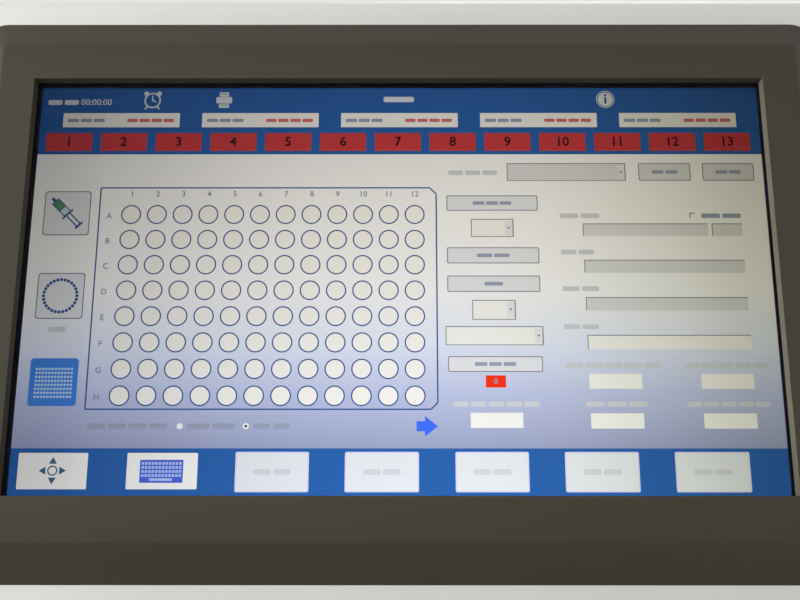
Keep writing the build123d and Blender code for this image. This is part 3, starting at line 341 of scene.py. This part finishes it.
MOULDED_AND_METAL = {
    "body_plastic": ((0.74, 0.74, 0.70), 0.48, {"grain_depth": 0.015, "rubbed": 0.15, "lighter": 1.1}),
    "bezel_plastic": ((0.053, 0.048, 0.035), 0.62, {"grain_depth": 0.03, "drift": 0.05, "gloss": 0.12}),
    "dark_plastic": ((0.035, 0.035, 0.037), 0.5, {"lighter": 2.2}),
    "foot_rubber": ((0.03, 0.03, 0.03), 0.85, {"grain_scale": 900, "grain_depth": 0.05, "rubbed": 0.1}),
    "sheet_steel": (
        (0.42, 0.43, 0.44), 0.42, {"metallic": 0.35, "grain_depth": 0.01, "rubbed": 0.5, "lighter": 1.6}
    ),
    "alloy": (
        (0.62, 0.63, 0.64), 0.38,
        {"metallic": 0.9, "grain_scale": 3500, "grain_depth": 0.008, "rubbed": 0.4},
    ),
    "steel": (
        (0.60, 0.60, 0.60), 0.22,
        {"metallic": 1.0, "grain_scale": 5000, "grain_depth": 0.004, "rubbed": 0.2},
    ),
    "white_plastic": ((0.78, 0.78, 0.76), 0.4, {"grain_depth": 0.01, "rubbed": 0.1, "lighter": 1.1}),
    "blue_plastic": ((0.04, 0.13, 0.36), 0.4, {"lighter": 1.8}),
    "amber_plastic": ((0.36, 0.16, 0.04), 0.35, {"drift": 0.1, "lighter": 1.6}),
    "tube_silicone": ((0.70, 0.68, 0.60), 0.35, {"grain_depth": 0.004, "rubbed": 0.0}),
    "board_green": ((0.02, 0.12, 0.06), 0.35, {"grain_scale": 700, "rubbed": 0.2, "lighter": 2.0}),
}
finishes = {
    name: finish_of(name, colour, roughness, **values)
    for name, (colour, roughness, values) in MOULDED_AND_METAL.items()
}
finishes["clear_plastic"] = clear_finish("clear_plastic", (0.93, 0.95, 0.96), 0.08, 1.45)
finishes["tinted_acrylic"] = clear_finish("tinted_acrylic", (0.30, 0.36, 0.42), 0.03, 1.3)
finishes["display_glass"] = clear_finish("display_glass", (1.0, 1.0, 1.0), 0.0, 1.06)
finishes["display_picture"] = finish_of(
    "display_border", (0.011, 0.010, 0.017), 0.35, drift=0.0, rubbed=0.0, gloss=0.05
)
for part in record["subparts"]:
    node = nodes[part["node"]]
    material = finishes[part["material_slot"]]
    node.data.materials.clear()
    node.data.materials.append(material)
print(len(finishes), "finishes")

# %% [markdown]
# The solids come with knife-sharp edges. Real mouldings and sheet parts have a small radius that
# catches the light. The triangles are welded and a narrow bevel rounds the edges. Last, each
# corner's normal follows the larger face beside it, so that flat sheets stay flat to the eye.
# The solids stay as they are, since a modifier only changes what is shown. The vented covers keep
# crisp edges, because a bevel round each of their slots would only roughen the sheet.

# %% Soft edges on the solids
EDGE_RADIUS = {
    "body_plastic": 0.6, "bezel_plastic": 0.6, "foot_rubber": 0.6,
    "white_plastic": 0.4, "blue_plastic": 0.4, "amber_plastic": 0.4,
    "dark_plastic": 0.3, "sheet_steel": 0.3, "alloy": 0.3, "tinted_acrylic": 0.3,
}
WELD_REACH = 0.005
SHARP_ANGLE = math.radians(40)
CRISP_ANGLE = math.radians(30)
VENTED = ("left_cover", "right_cover", "rear_cover")
for part in record["subparts"]:
    node = nodes[part["node"]]
    weld = node.modifiers.new("weld", "WELD")
    weld.merge_threshold = WELD_REACH * MM
    radius = EDGE_RADIUS.get(part["material_slot"])
    if part["node"] in VENTED:
        crisp = node.modifiers.new("crisp_edges", "EDGE_SPLIT")
        crisp.split_angle = CRISP_ANGLE
        node.data.shade_smooth()
    elif radius:
        rounding = node.modifiers.new("edges", "BEVEL")
        rounding.width = radius * MM
        rounding.segments = 2
        rounding.limit_method = "ANGLE"
        rounding.angle_limit = SHARP_ANGLE
        node.data.shade_smooth()
        even = node.modifiers.new("even_shading", "WEIGHTED_NORMAL")
        even.mode = "FACE_AREA"
        even.weight = 100

# %% [markdown]
# The picture on the display is a stack of very thin coloured plates under the glass,
# one object for each colour, in layers a few hundredths of a millimetre apart. Places are
# given in the picture's own units, 1366 across and 768 down, as its designer would
# draw them. A plate starts as a one-square grid, gets its corners by a bevel of the four vertices
# and its thickness by an extrusion. That is quicker to edit than a painted image, and it stays sharp.

# %% Tools for drawing on the display
ACROSS, DOWN = 1366, 768
ACTIVE_WIDTH = 344.2
UNIT = ACTIVE_WIDTH / ACROSS
LAYER = 0.02
PLATE_THICKNESS = 0.008


def on_screen(x, y, layer):
    """The place of a picture point in the display's axes, in millimetres."""
    return Vector(((x - ACROSS / 2) * UNIT, (DOWN / 2 - y) * UNIT, layer * LAYER))


def faces_round(corners):
    """The faces that meet some corners, each one once and always in the same order."""
    return list(dict.fromkeys(face for corner in corners for face in corner.link_faces))


class Sheet:
    """All the plates of one colour, gathered in one mesh."""

    def __init__(self, name):
        self.name = name
        self.shape = bmesh.new()

    def thicken(self, faces):
        """Give flat faces their thickness, down from the layer that they lie on."""
        made = bmesh.ops.extrude_face_region(self.shape, geom=faces)["geom"]
        corners = [part for part in made if isinstance(part, bmesh.types.BMVert)]
        bmesh.ops.translate(self.shape, verts=corners, vec=(0, 0, PLATE_THICKNESS))

    def plate(self, left, top, right, bottom, layer, radius=0.0):
        """A rectangle, with round corners if it has a radius."""
        middle = on_screen((left + right) / 2, (top + bottom) / 2, layer)
        size = Matrix.Diagonal(((right - left) * UNIT, (bottom - top) * UNIT, 1, 1))
        made = bmesh.ops.create_grid(
            self.shape, x_segments=1, y_segments=1, size=0.5, matrix=Matrix.Translation(middle) @ size
        )
        faces = faces_round(made["verts"])
        if radius:
            rounded = bmesh.ops.bevel(
                self.shape, geom=made["verts"], offset=radius * UNIT, affect="VERTICES", segments=4,
                profile=0.5, material=-1,
            )
            faces = faces_round(rounded["verts"])
        self.thicken(faces)

    def disc(self, x, y, radius, layer, sides=24):
        made = bmesh.ops.create_circle(
            self.shape, cap_ends=True, segments=sides, radius=radius * UNIT,
            matrix=Matrix.Translation(on_screen(x, y, layer)),
        )
        self.thicken(faces_round(made["verts"]))

    def ring(self, x, y, radius, line, layer, sides=24):
        """A circular line, its outer edge at radius."""
        place = Matrix.Translation(on_screen(x, y, layer))
        edges = []
        for reach in (radius, radius - line):
            made = bmesh.ops.create_circle(self.shape, segments=sides, radius=reach * UNIT, matrix=place)
            edges += dict.fromkeys(edge for corner in made["verts"] for edge in corner.link_edges)
        self.thicken(bmesh.ops.bridge_loops(self.shape, edges=edges)["faces"])

    def polygon(self, points, layer):
        """A flat shape with straight sides, through a few picture points."""
        corners = [self.shape.verts.new(on_screen(x, y, layer)) for x, y in points]
        edges = [
            self.shape.edges.new((corner, corners[(number + 1) % len(corners)]))
            for number, corner in enumerate(corners)
        ]
        self.thicken(bmesh.ops.contextual_create(self.shape, geom=edges)["faces"])

    def stroke(self, start, end, line, layer):
        """A straight line between two picture points."""
        a, b = Vector(start), Vector(end)
        side = (b - a).orthogonal().normalized() * (line / 2)
        self.polygon([tuple(a + side), tuple(b + side), tuple(b - side), tuple(a - side)], layer)

    def digits(self, text, x, y, height, layer, weight=0.012):
        """Digits or row letters, centred on a picture point; weight makes the strokes bolder."""
        curve = bpy.data.curves.new("digits", "FONT")
        curve.body = text
        curve.size = height * UNIT / 0.7
        curve.align_x = "CENTER"
        curve.align_y = "CENTER"
        curve.extrude = PLATE_THICKNESS / 2
        curve.offset = curve.size * weight
        curve.resolution_u = 3
        holder = bpy.data.objects.new("digits", curve)
        mesh = bpy.data.meshes.new_from_object(holder)
        mesh.transform(Matrix.Translation(on_screen(x, y, layer)))
        self.shape.from_mesh(mesh)
        bpy.data.meshes.remove(mesh)
        bpy.data.objects.remove(holder)
        bpy.data.curves.remove(curve)

    def words(self, left, right, y, height, layer):
        """A row of short bars that holds the place of a label."""
        gap = height * 0.45
        span = right - left
        count = max(1, round(span / (height * 3.6)))
        share = (span - gap * (count - 1)) / count
        for number in range(count):
            start = left + number * (share + gap)
            self.plate(start, y - height / 2, start + share, y + height / 2, layer, height * 0.3)

    def done(self, material):
        """Turn the sheet into a piece of the display, in its place on the machine."""
        bmesh.ops.transform(self.shape, matrix=screen_matrix, verts=self.shape.verts)
        bmesh.ops.recalc_face_normals(self.shape, faces=self.shape.faces)
        mesh = bpy.data.meshes.new(self.name)
        self.shape.to_mesh(mesh)
        self.shape.free()
        mesh.materials.append(material)
        piece = bpy.data.objects.new(self.name, mesh)
        bpy.context.collection.objects.link(piece)
        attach(piece, "housing")
        return piece


# %% [markdown]
# A liquid crystal panel isn't equally bright all over: seen from below, its own light is dimmer
# at its top, and it fades towards both sides. The warmer tone towards the top is painted: it
# stands for a reflection of the ceiling light in the glass. One node group makes all of that
# from Object coordinates, and every colour of the picture passes through it into Emission
# Color. The colours themselves are the plain ones of the picture.

# %% Node group for the display's glow
half_width = ACTIVE_WIDTH / 2 * MM
half_rise = ACTIVE_WIDTH * DOWN / ACROSS / 2 * MM * math.cos(SCREEN_TILT)
glow, glow_in, glow_out = new_group(
    "display_glow", (("Colour", "NodeSocketColor", (1, 1, 1, 1)),), (("Colour", "NodeSocketColor"),)
)
glow_axes = glow.nodes.new("ShaderNodeSeparateXYZ")
join(glow, glow.nodes.new("ShaderNodeTexCoord").outputs["Object"], glow_axes.inputs[0])


def spread(tree, value, low, high):
    """A value mapped from a span to 0 and 1."""
    node = tree.nodes.new("ShaderNodeMapRange")
    join(tree, value, node.inputs["Value"])
    node.inputs["From Min"].default_value = low
    node.inputs["From Max"].default_value = high
    return node.outputs["Result"]


def ramp(tree, value, stops, smooth="B_SPLINE"):
    """A colour ramp; each stop is a place from 0 to 1 and a colour."""
    node = tree.nodes.new("ShaderNodeValToRGB")
    node.color_ramp.interpolation = smooth
    while len(node.color_ramp.elements) < len(stops):
        node.color_ramp.elements.new(0.5)
    for element, (place, colour) in zip(node.color_ramp.elements, stops):
        element.position = place
        element.color = (*colour, 1)
    join(tree, value, node.inputs["Fac"])
    return node.outputs["Color"]


def multiply(tree, first, second):
    node = tree.nodes.new("ShaderNodeVectorMath")
    node.operation = "MULTIPLY"
    join(tree, first, node.inputs[0])
    join(tree, second, node.inputs[1])
    return node.outputs[0]


across = spread(glow, glow_axes.outputs["X"], -half_width, half_width)
picture_top = screen_middle.z + half_rise
picture_foot = screen_middle.z - half_rise
downwards = spread(glow, glow_axes.outputs["Z"], picture_top, picture_foot)
sideways_fade = ramp(glow, across, (
    (0.0, (0.44, 0.44, 0.44)), (0.10, (0.57, 0.57, 0.57)), (0.32, (0.90, 0.90, 0.89)),
    (0.55, (1.0, 1.0, 0.99)), (0.72, (0.93, 0.93, 0.88)), (0.88, (0.66, 0.66, 0.57)),
    (1.0, (0.47, 0.47, 0.39)),
))
# Dimmer towards the top, as the panel's own light is seen from below; the warmer tint there is a painted
# reflection of the ceiling light.
downward_rise = ramp(glow, downwards, (
    (0.0, (0.50, 0.48, 0.45)), (0.33, (0.73, 0.70, 0.64)), (0.66, (0.91, 0.90, 0.88)),
    (1.0, (1.12, 1.12, 1.12)),
), "LINEAR")
join(glow, multiply(glow, multiply(glow, glow_in.outputs["Colour"], sideways_fade), downward_rise),
     glow_out.inputs["Colour"])


def lit(name, colour):
    """A colour of the picture, as light from the panel."""
    material, bsdf, tree = shader(name)
    bsdf.inputs["Base Color"].default_value = (0.004, 0.004, 0.005, 1)
    bsdf.inputs["Specular IOR Level"].default_value = 0
    bsdf.inputs["Emission Strength"].default_value = 1.0
    shade = tree.nodes.new("ShaderNodeGroup")
    shade.node_tree = glow
    shade.inputs["Colour"].default_value = (*colour, 1)
    join(tree, shade.outputs["Colour"], bsdf.inputs["Emission Color"])
    return material


# %% [markdown]
# The ground of the picture comes first: a blue band at the top, one at the bottom, and
# the pale field between them, which turns to a cool lavender towards its lower edge. Its cream
# look near the top comes from the painted reflection in the display's glow.

# %% Bands and field
TOP_BAND = 135
BOTTOM_BAND = 687
bands = Sheet("screen_bands")
bands.plate(0, 0, ACROSS, TOP_BAND, 1)
bands.plate(0, BOTTOM_BAND, ACROSS, DOWN + 2, 1)
bands.done(lit("screen_blue", (0.020, 0.118, 0.425)))

field = Sheet("screen_field")
field.plate(0, TOP_BAND, ACROSS, BOTTOM_BAND, 1)
field_finish, field_bsdf, field_tree = shader("screen_field")
field_bsdf.inputs["Base Color"].default_value = (0.004, 0.004, 0.005, 1)
field_bsdf.inputs["Specular IOR Level"].default_value = 0
field_bsdf.inputs["Emission Strength"].default_value = 1.0
field_axes = field_tree.nodes.new("ShaderNodeSeparateXYZ")
join(field_tree, field_tree.nodes.new("ShaderNodeTexCoord").outputs["Object"], field_axes.inputs[0])
field_fall = spread(field_tree, field_axes.outputs["Z"], picture_top, picture_foot)
field_colour = ramp(field_tree, field_fall, (
    (0.18, (0.97, 0.98, 1.0)), (0.52, (0.96, 0.97, 1.0)), (0.65, (0.78, 0.84, 1.0)),
    (0.77, (0.52, 0.58, 0.84)), (0.895, (0.33, 0.37, 0.58)),
), "LINEAR")
field_glow = field_tree.nodes.new("ShaderNodeGroup")
field_glow.node_tree = glow
join(field_tree, field_colour, field_glow.inputs["Colour"])
join(field_tree, field_glow.outputs["Colour"], field_bsdf.inputs["Emission Color"])
field.done(field_finish)

# %% [markdown]
# The top band holds the clock, three small symbols, five status boxes and thirteen red
# channel tabs. The boxes and tabs carry words in use; here the tabs have plain channel numbers
# and the labels are bars.

# %% Status boxes and channel tabs
BOX_LEFT = 43
BOX_PITCH = 264.6
BOX_WIDTH = 222
TAB_LEFT = 14
TAB_PITCH = 103.8
TAB_WIDTH = 87
white = Sheet("screen_white")
labels = Sheet("screen_grey_labels")
alarms = Sheet("screen_red_labels")
tabs = Sheet("screen_tabs")
tab_numbers = Sheet("screen_tab_numbers")
for number in range(5):
    left = BOX_LEFT + number * BOX_PITCH
    white.plate(left, 51, left + BOX_WIDTH, 80, 2)
    labels.words(left + 9, left + 79, 66, 7, 3)
    alarms.words(left + 122, left + 211, 66, 7, 3)
for number in range(13):
    left = TAB_LEFT + number * TAB_PITCH
    tabs.plate(left, 92, left + TAB_WIDTH, 128, 2)
    tab_numbers.digits(str(number + 1), left + TAB_WIDTH / 2, 110, 18, 3.5, 0.022)
tabs.done(lit("screen_red", (0.58, 0.045, 0.05)))
tab_numbers.done(lit("screen_maroon", (0.035, 0.004, 0.008)))
alarms.done(lit("screen_alarm", (0.68, 0.17, 0.17)))

# %% Clock, printer, title and information symbol
pale = Sheet("screen_pale_symbols")
pale.digits("00:00:00", 104, 29, 12, 3)
pale.words(12, 70, 29, 10, 2)
pale.words(653, 711, 23, 11, 2)
pale.ring(211, 25, 16, 3, 2)
for lean in (-1, 1):
    pale.disc(211 + lean * 12, 11, 5, 2, 12)
    pale.stroke((211 + lean * 9, 37), (211 + lean * 14, 43), 3, 2)
pale.stroke((211, 25), (211, 15), 2.4, 2)
pale.stroke((211, 25), (218, 28), 2.4, 2)
pale.plate(333, 18, 363, 31, 2, 2)
pale.plate(339, 8, 357, 17, 2)
pale.plate(338, 32, 358, 40, 2)
pale.disc(1077, 23, 17.5, 2, 32)
pale.done(lit("screen_pale", (0.72, 0.78, 0.86)))
ink = Sheet("screen_symbol_ink")
ink.ring(1077, 23, 16, 1.6, 3, 32)
ink.disc(1077, 14.5, 2.4, 3, 12)
ink.plate(1075, 19, 1079, 32, 3)
ink.plate(337, 34, 359, 35.2, 3)
ink.plate(341, 11, 355, 12.2, 3)
ink.done(lit("screen_ink", (0.03, 0.09, 0.25)))

# %% [markdown]
# Three buttons on the left choose how the sample comes: by syringe, from a ring of cups, or from
# a plate. The plate is chosen, so its button is blue. Under them the pieces are the same
# few shapes again: plates, rings, discs and strokes.

# %% Sample buttons
BUTTON_SIZE = 86.5
BUTTON_LEFT = 21.5
button_tops = {"syringe": 208.5, "ring": 367, "plate": 526}
button_rim = Sheet("screen_button_rims")
button_face = Sheet("screen_button_faces")
for top in (button_tops["syringe"], button_tops["ring"]):
    button_rim.plate(BUTTON_LEFT, top, BUTTON_LEFT + BUTTON_SIZE, top + BUTTON_SIZE, 2, 6)
    button_face.plate(BUTTON_LEFT + 2, top + 2, BUTTON_LEFT + BUTTON_SIZE - 2, top + BUTTON_SIZE - 2, 3, 5)
chosen = Sheet("screen_chosen_button")
chosen.plate(
    BUTTON_LEFT, button_tops["plate"], BUTTON_LEFT + BUTTON_SIZE, button_tops["plate"] + BUTTON_SIZE, 2, 6
)
chosen.done(lit("screen_chosen", (0.05, 0.24, 0.78)))
dots = Sheet("screen_dots")
for row in range(8):
    for column in range(12):
        dots.disc(33.5 + column * 5.75, 545.5 + row * 7.2, 2.3, 3, 10)
dots.done(lit("screen_dot", (0.55, 0.74, 0.98)))
ring_middle = (BUTTON_LEFT + BUTTON_SIZE / 2, button_tops["ring"] + BUTTON_SIZE / 2)
navy = Sheet("screen_navy")
for number in range(28):
    angle = math.tau * number / 28
    navy.disc(ring_middle[0] + 30.5 * math.cos(angle), ring_middle[1] + 30.5 * math.sin(angle), 3.1, 4, 12)

# %% [markdown]
# The syringe lies at 45 degrees. Its parts are strokes along one slanted axis: a green barrel
# with a blue outline, a flange, the plunger's rod and its end, and a needle.

# %% Syringe symbol
barrel = Sheet("screen_barrel")
AXIS_START = Vector((41, 228))
AXIS = Vector((1, 1)).normalized()
AXIS_SIDE = Vector((1, -1)).normalized()


def along(reach, side=0.0):
    """A picture point on the syringe's axis."""
    return tuple(AXIS_START + AXIS * reach + AXIS_SIDE * side)


navy.stroke(along(0), along(36), 17, 4)
barrel.stroke(along(2), along(21), 13, 5)
glass_part = Sheet("screen_barrel_glass")
glass_part.stroke(along(22), along(34), 13, 5)
navy.stroke(along(36, -13), along(36, 13), 3.4, 4)
for side in (-4, 4):
    navy.stroke(along(36, side), along(66, side), 2.6, 4)
navy.stroke(along(67, -9), along(67, 9), 4, 4)
navy.stroke(along(-8), along(0), 6, 4)
barrel.done(lit("screen_green", (0.09, 0.30, 0.13)))
glass_part.done(lit("screen_barrel_pale", (0.62, 0.70, 0.78)))

# %% [markdown]
# The large plate is the heart of the picture: an outline with two cut corners, twelve
# column numbers, eight row letters and ninety-six round wells. One well is two
# circles bridged into a ring, with a pale disc inside.

# %% Plate with its wells
WELL_LEFT, WELL_TOP = 184.3, 254.4
WELL_PITCH_X, WELL_PITCH_Y = 47.95, 48.5
WELL_RADIUS = 18.7
PLATE_LEFT, PLATE_TOP, PLATE_RIGHT, PLATE_BOTTOM = 125, 202, 752, 618
CORNER_CUT = 12
LINE = 2.6
wells = Sheet("screen_wells")
for row in range(8):
    for column in range(12):
        x = WELL_LEFT + column * WELL_PITCH_X
        y = WELL_TOP + row * WELL_PITCH_Y
        navy.ring(x, y, WELL_RADIUS, 2.4, 3, 28)
        wells.disc(x, y, WELL_RADIUS - 2.4, 3, 28)
wells.done(lit("screen_well", (0.96, 0.95, 0.93)))
plate_points = [
    (PLATE_LEFT, PLATE_TOP),
    (PLATE_RIGHT - CORNER_CUT, PLATE_TOP),
    (PLATE_RIGHT, PLATE_TOP + CORNER_CUT),
    (PLATE_RIGHT, PLATE_BOTTOM - CORNER_CUT),
    (PLATE_RIGHT - CORNER_CUT, PLATE_BOTTOM),
    (PLATE_LEFT, PLATE_BOTTOM),
]
for number, point in enumerate(plate_points):
    navy.stroke(point, plate_points[(number + 1) % len(plate_points)], LINE, 3)
plate_labels = Sheet("screen_plate_labels")
for column in range(12):
    plate_labels.digits(str(column + 1), WELL_LEFT + column * WELL_PITCH_X, 214.5, 10.5, 2.5)
for row, letter in enumerate("ABCDEFGH"):
    plate_labels.digits(letter, 143.5, WELL_TOP + row * WELL_PITCH_Y + 3, 10.5, 2.5)
plate_labels.done(lit("screen_slate", (0.20, 0.26, 0.42)))
navy.done(lit("screen_navy", (0.035, 0.10, 0.34)))

# %% [markdown]
# To the right stand the entry fields and their buttons. A field looks sunken because
# its top and left lines are dark, and a raised button has a pale face inside a grey
# edge. The faint labels are bars in a tone close to the ground.

# %% Fields, buttons and lists
shade_line = Sheet("screen_shade_lines")
mute = Sheet("screen_mute_faces")
faint = Sheet("screen_faint_labels")


def sunken(left, top, right, bottom, sheet):
    """An entry field: dark top and left lines with the sheet's colour inside."""
    shade_line.plate(left, top, right, top + 1.6, 3)
    shade_line.plate(left, top + 1.6, left + 1.6, bottom, 3)
    sheet.plate(left + 1.6, top + 1.6, right, bottom, 2)


def dropdown(left, top, right, bottom, sheet):
    """A list: a sunken field with a small square button and its mark."""
    sunken(left, top, right, bottom, sheet)
    shade_line.plate(left, bottom - 1.4, right, bottom, 3)
    button_face.plate(right - 16, top + 4, right - 2, bottom - 3, 3)
    shade_line.plate(right - 2, top + 2, right, bottom, 3)
    shade_line.polygon([(right - 12, top + 16), (right - 6, top + 16), (right - 9, top + 20)], 4)


def label_button(left, top, right, bottom, word_left, word_right, sheet):
    """A flat button with a grey edge and a label's bars."""
    button_rim.plate(left, top, right, bottom, 2, 3)
    sheet.plate(left + 1.8, top + 1.8, right - 1.8, bottom - 1.8, 3, 2)
    labels.words(word_left, word_right, (top + bottom) / 2, 7, 4)


for top, bottom, half in ((217, 247, 36), (318, 349, 30), (372, 403, 17), (522, 551, 37)):
    label_button(771, top, 941, bottom, 856 - half, 856 + half, button_face)
dropdown(816, 263, 895, 298, white)
dropdown(816, 418, 895, 455, white)
dropdown(767, 467, 944, 502, white)
white.plate(810, 624, 903, 651, 2)
orange = Sheet("screen_orange")
orange.plate(838, 557, 874, 579, 2)
orange.done(lit("screen_orange", (0.95, 0.035, 0.004)))
labels.digits("0", 856, 568, 10, 4)
faint.words(779, 933, 609, 9, 2)

labels_faint_rows = (
    (775, 867, 172), (981, 1055, 257), (981, 1042, 327), (981, 1048, 397), (981, 1044, 468)
)
for left, right, y in labels_faint_rows:
    faint.words(left, right, y, 9, 2)
dropdown(885, 153, 1108, 188, mute)
label_button(1132, 153, 1230, 188, 1157, 1205, mute)
label_button(1252, 153, 1349, 188, 1277, 1324, mute)
button_rim.plate(1222, 251, 1232, 261, 2)
white.plate(1224, 253, 1232, 261, 3)
labels.words(1244, 1318, 257, 9, 2)
sunken(1023, 272, 1255, 296, mute)
sunken(1262, 272, 1318, 296, mute)
for top, bottom in ((342, 367), (413, 438)):
    sunken(1023, top, 1318, bottom, mute)
sunken(1023, 483, 1318, 509, white)
for top, bottom in ((554, 581), (625, 652)):
    white.plate(1023, top, 1117, bottom, 2)
    white.plate(1223, top, 1317, bottom, 2)
for left, right, y in ((981, 1153, 539), (1195, 1343, 539), (1015, 1125, 609), (1195, 1343, 609)):
    faint.words(left, right, y, 9, 2)
faint.words(48, 80, 473, 10, 2)

# %% Line below the plate: two choices and the arrow
labels.words(131, 273, 648, 9.5, 2)
labels.words(308, 393, 648, 9.5, 2)
labels.words(426, 489, 648, 9.5, 2)
for x in (295, 412):
    white.disc(x, 648, 5.5, 2, 20)
ink_dot = Sheet("screen_choice_dot")
ink_dot.disc(412, 648, 2.4, 3, 12)
ink_dot.done(lit("screen_black", (0.01, 0.012, 0.02)))
arrow = Sheet("screen_arrow")
arrow.polygon([(714, 639), (729, 639), (729, 630), (752, 648), (729, 666), (729, 657), (714, 657)], 2)
arrow.done(lit("screen_arrow", (0.045, 0.16, 1.0)))

# %% [markdown]
# The bottom band has two symbol buttons and five text buttons. The first symbol is a plain
# four-way mark and the second a keyboard, drawn key by key.

# %% Bottom buttons
BOTTOM_BUTTONS = ((396, 525), (588, 718), (782, 911), (974, 1104), (1167, 1298))
lavender = Sheet("screen_button_edges")
text_face = Sheet("screen_text_buttons")
for left, right in BOTTOM_BUTTONS:
    lavender.plate(left, 693, right, 763, 2, 3)
    text_face.plate(left + 2.5, 695.5, right - 2.5, 760.5, 3, 2)
    middle = (left + right) / 2
    faint.words(middle - 33, middle + 33, 728, 9.5, 4)
lavender.done(lit("screen_lavender", (0.66, 0.68, 0.92)))
text_face.done(lit("screen_text_face", (0.76, 0.80, 0.86)))
for left, right in ((15, 137), (206, 330)):
    white.plate(left, 695, right, 758, 2, 2)
four_way = Sheet("screen_four_way")
for step_x, step_y in ((0, -1), (1, 0), (0, 1), (-1, 0)):
    tip = (76 + 24 * step_x, 726 + 24 * step_y)
    base = (76 + 12 * step_x, 726 + 12 * step_y)
    four_way.polygon([
        tip, (base[0] + 7 * step_y, base[1] + 7 * step_x), (base[0] - 7 * step_y, base[1] - 7 * step_x)
    ], 3)
four_way.ring(76, 726, 9, 2.4, 3)
four_way.done(lit("screen_steel_blue", (0.04, 0.14, 0.24)))
keyboard = Sheet("screen_keyboard")
keyboard.plate(229, 707, 305, 747, 3, 2)
keyboard.done(lit("screen_keyboard", (0.06, 0.14, 0.72)))
keys = Sheet("screen_keys")
for row in range(4):
    for column in range(12):
        left = 232 + column * 5.95
        keys.plate(left, 711 + row * 7, left + 4.4, 715.6 + row * 7, 4)
keys.plate(246, 739, 286, 743.6, 4)
keys.done(lit("screen_key", (0.45, 0.55, 0.92)))

# %% Sheets that several parts of the picture share
white.done(lit("screen_white", (0.93, 0.93, 0.92)))
labels.done(lit("screen_label", (0.33, 0.38, 0.52)))
faint.done(lit("screen_faint", (0.64, 0.66, 0.72)))
button_rim.done(lit("screen_rim", (0.24, 0.26, 0.36)))
button_face.done(lit("screen_face", (0.80, 0.82, 0.88)))
shade_line.done(lit("screen_shade", (0.22, 0.22, 0.26)))
mute.done(lit("screen_mute", (0.74, 0.75, 0.78)))
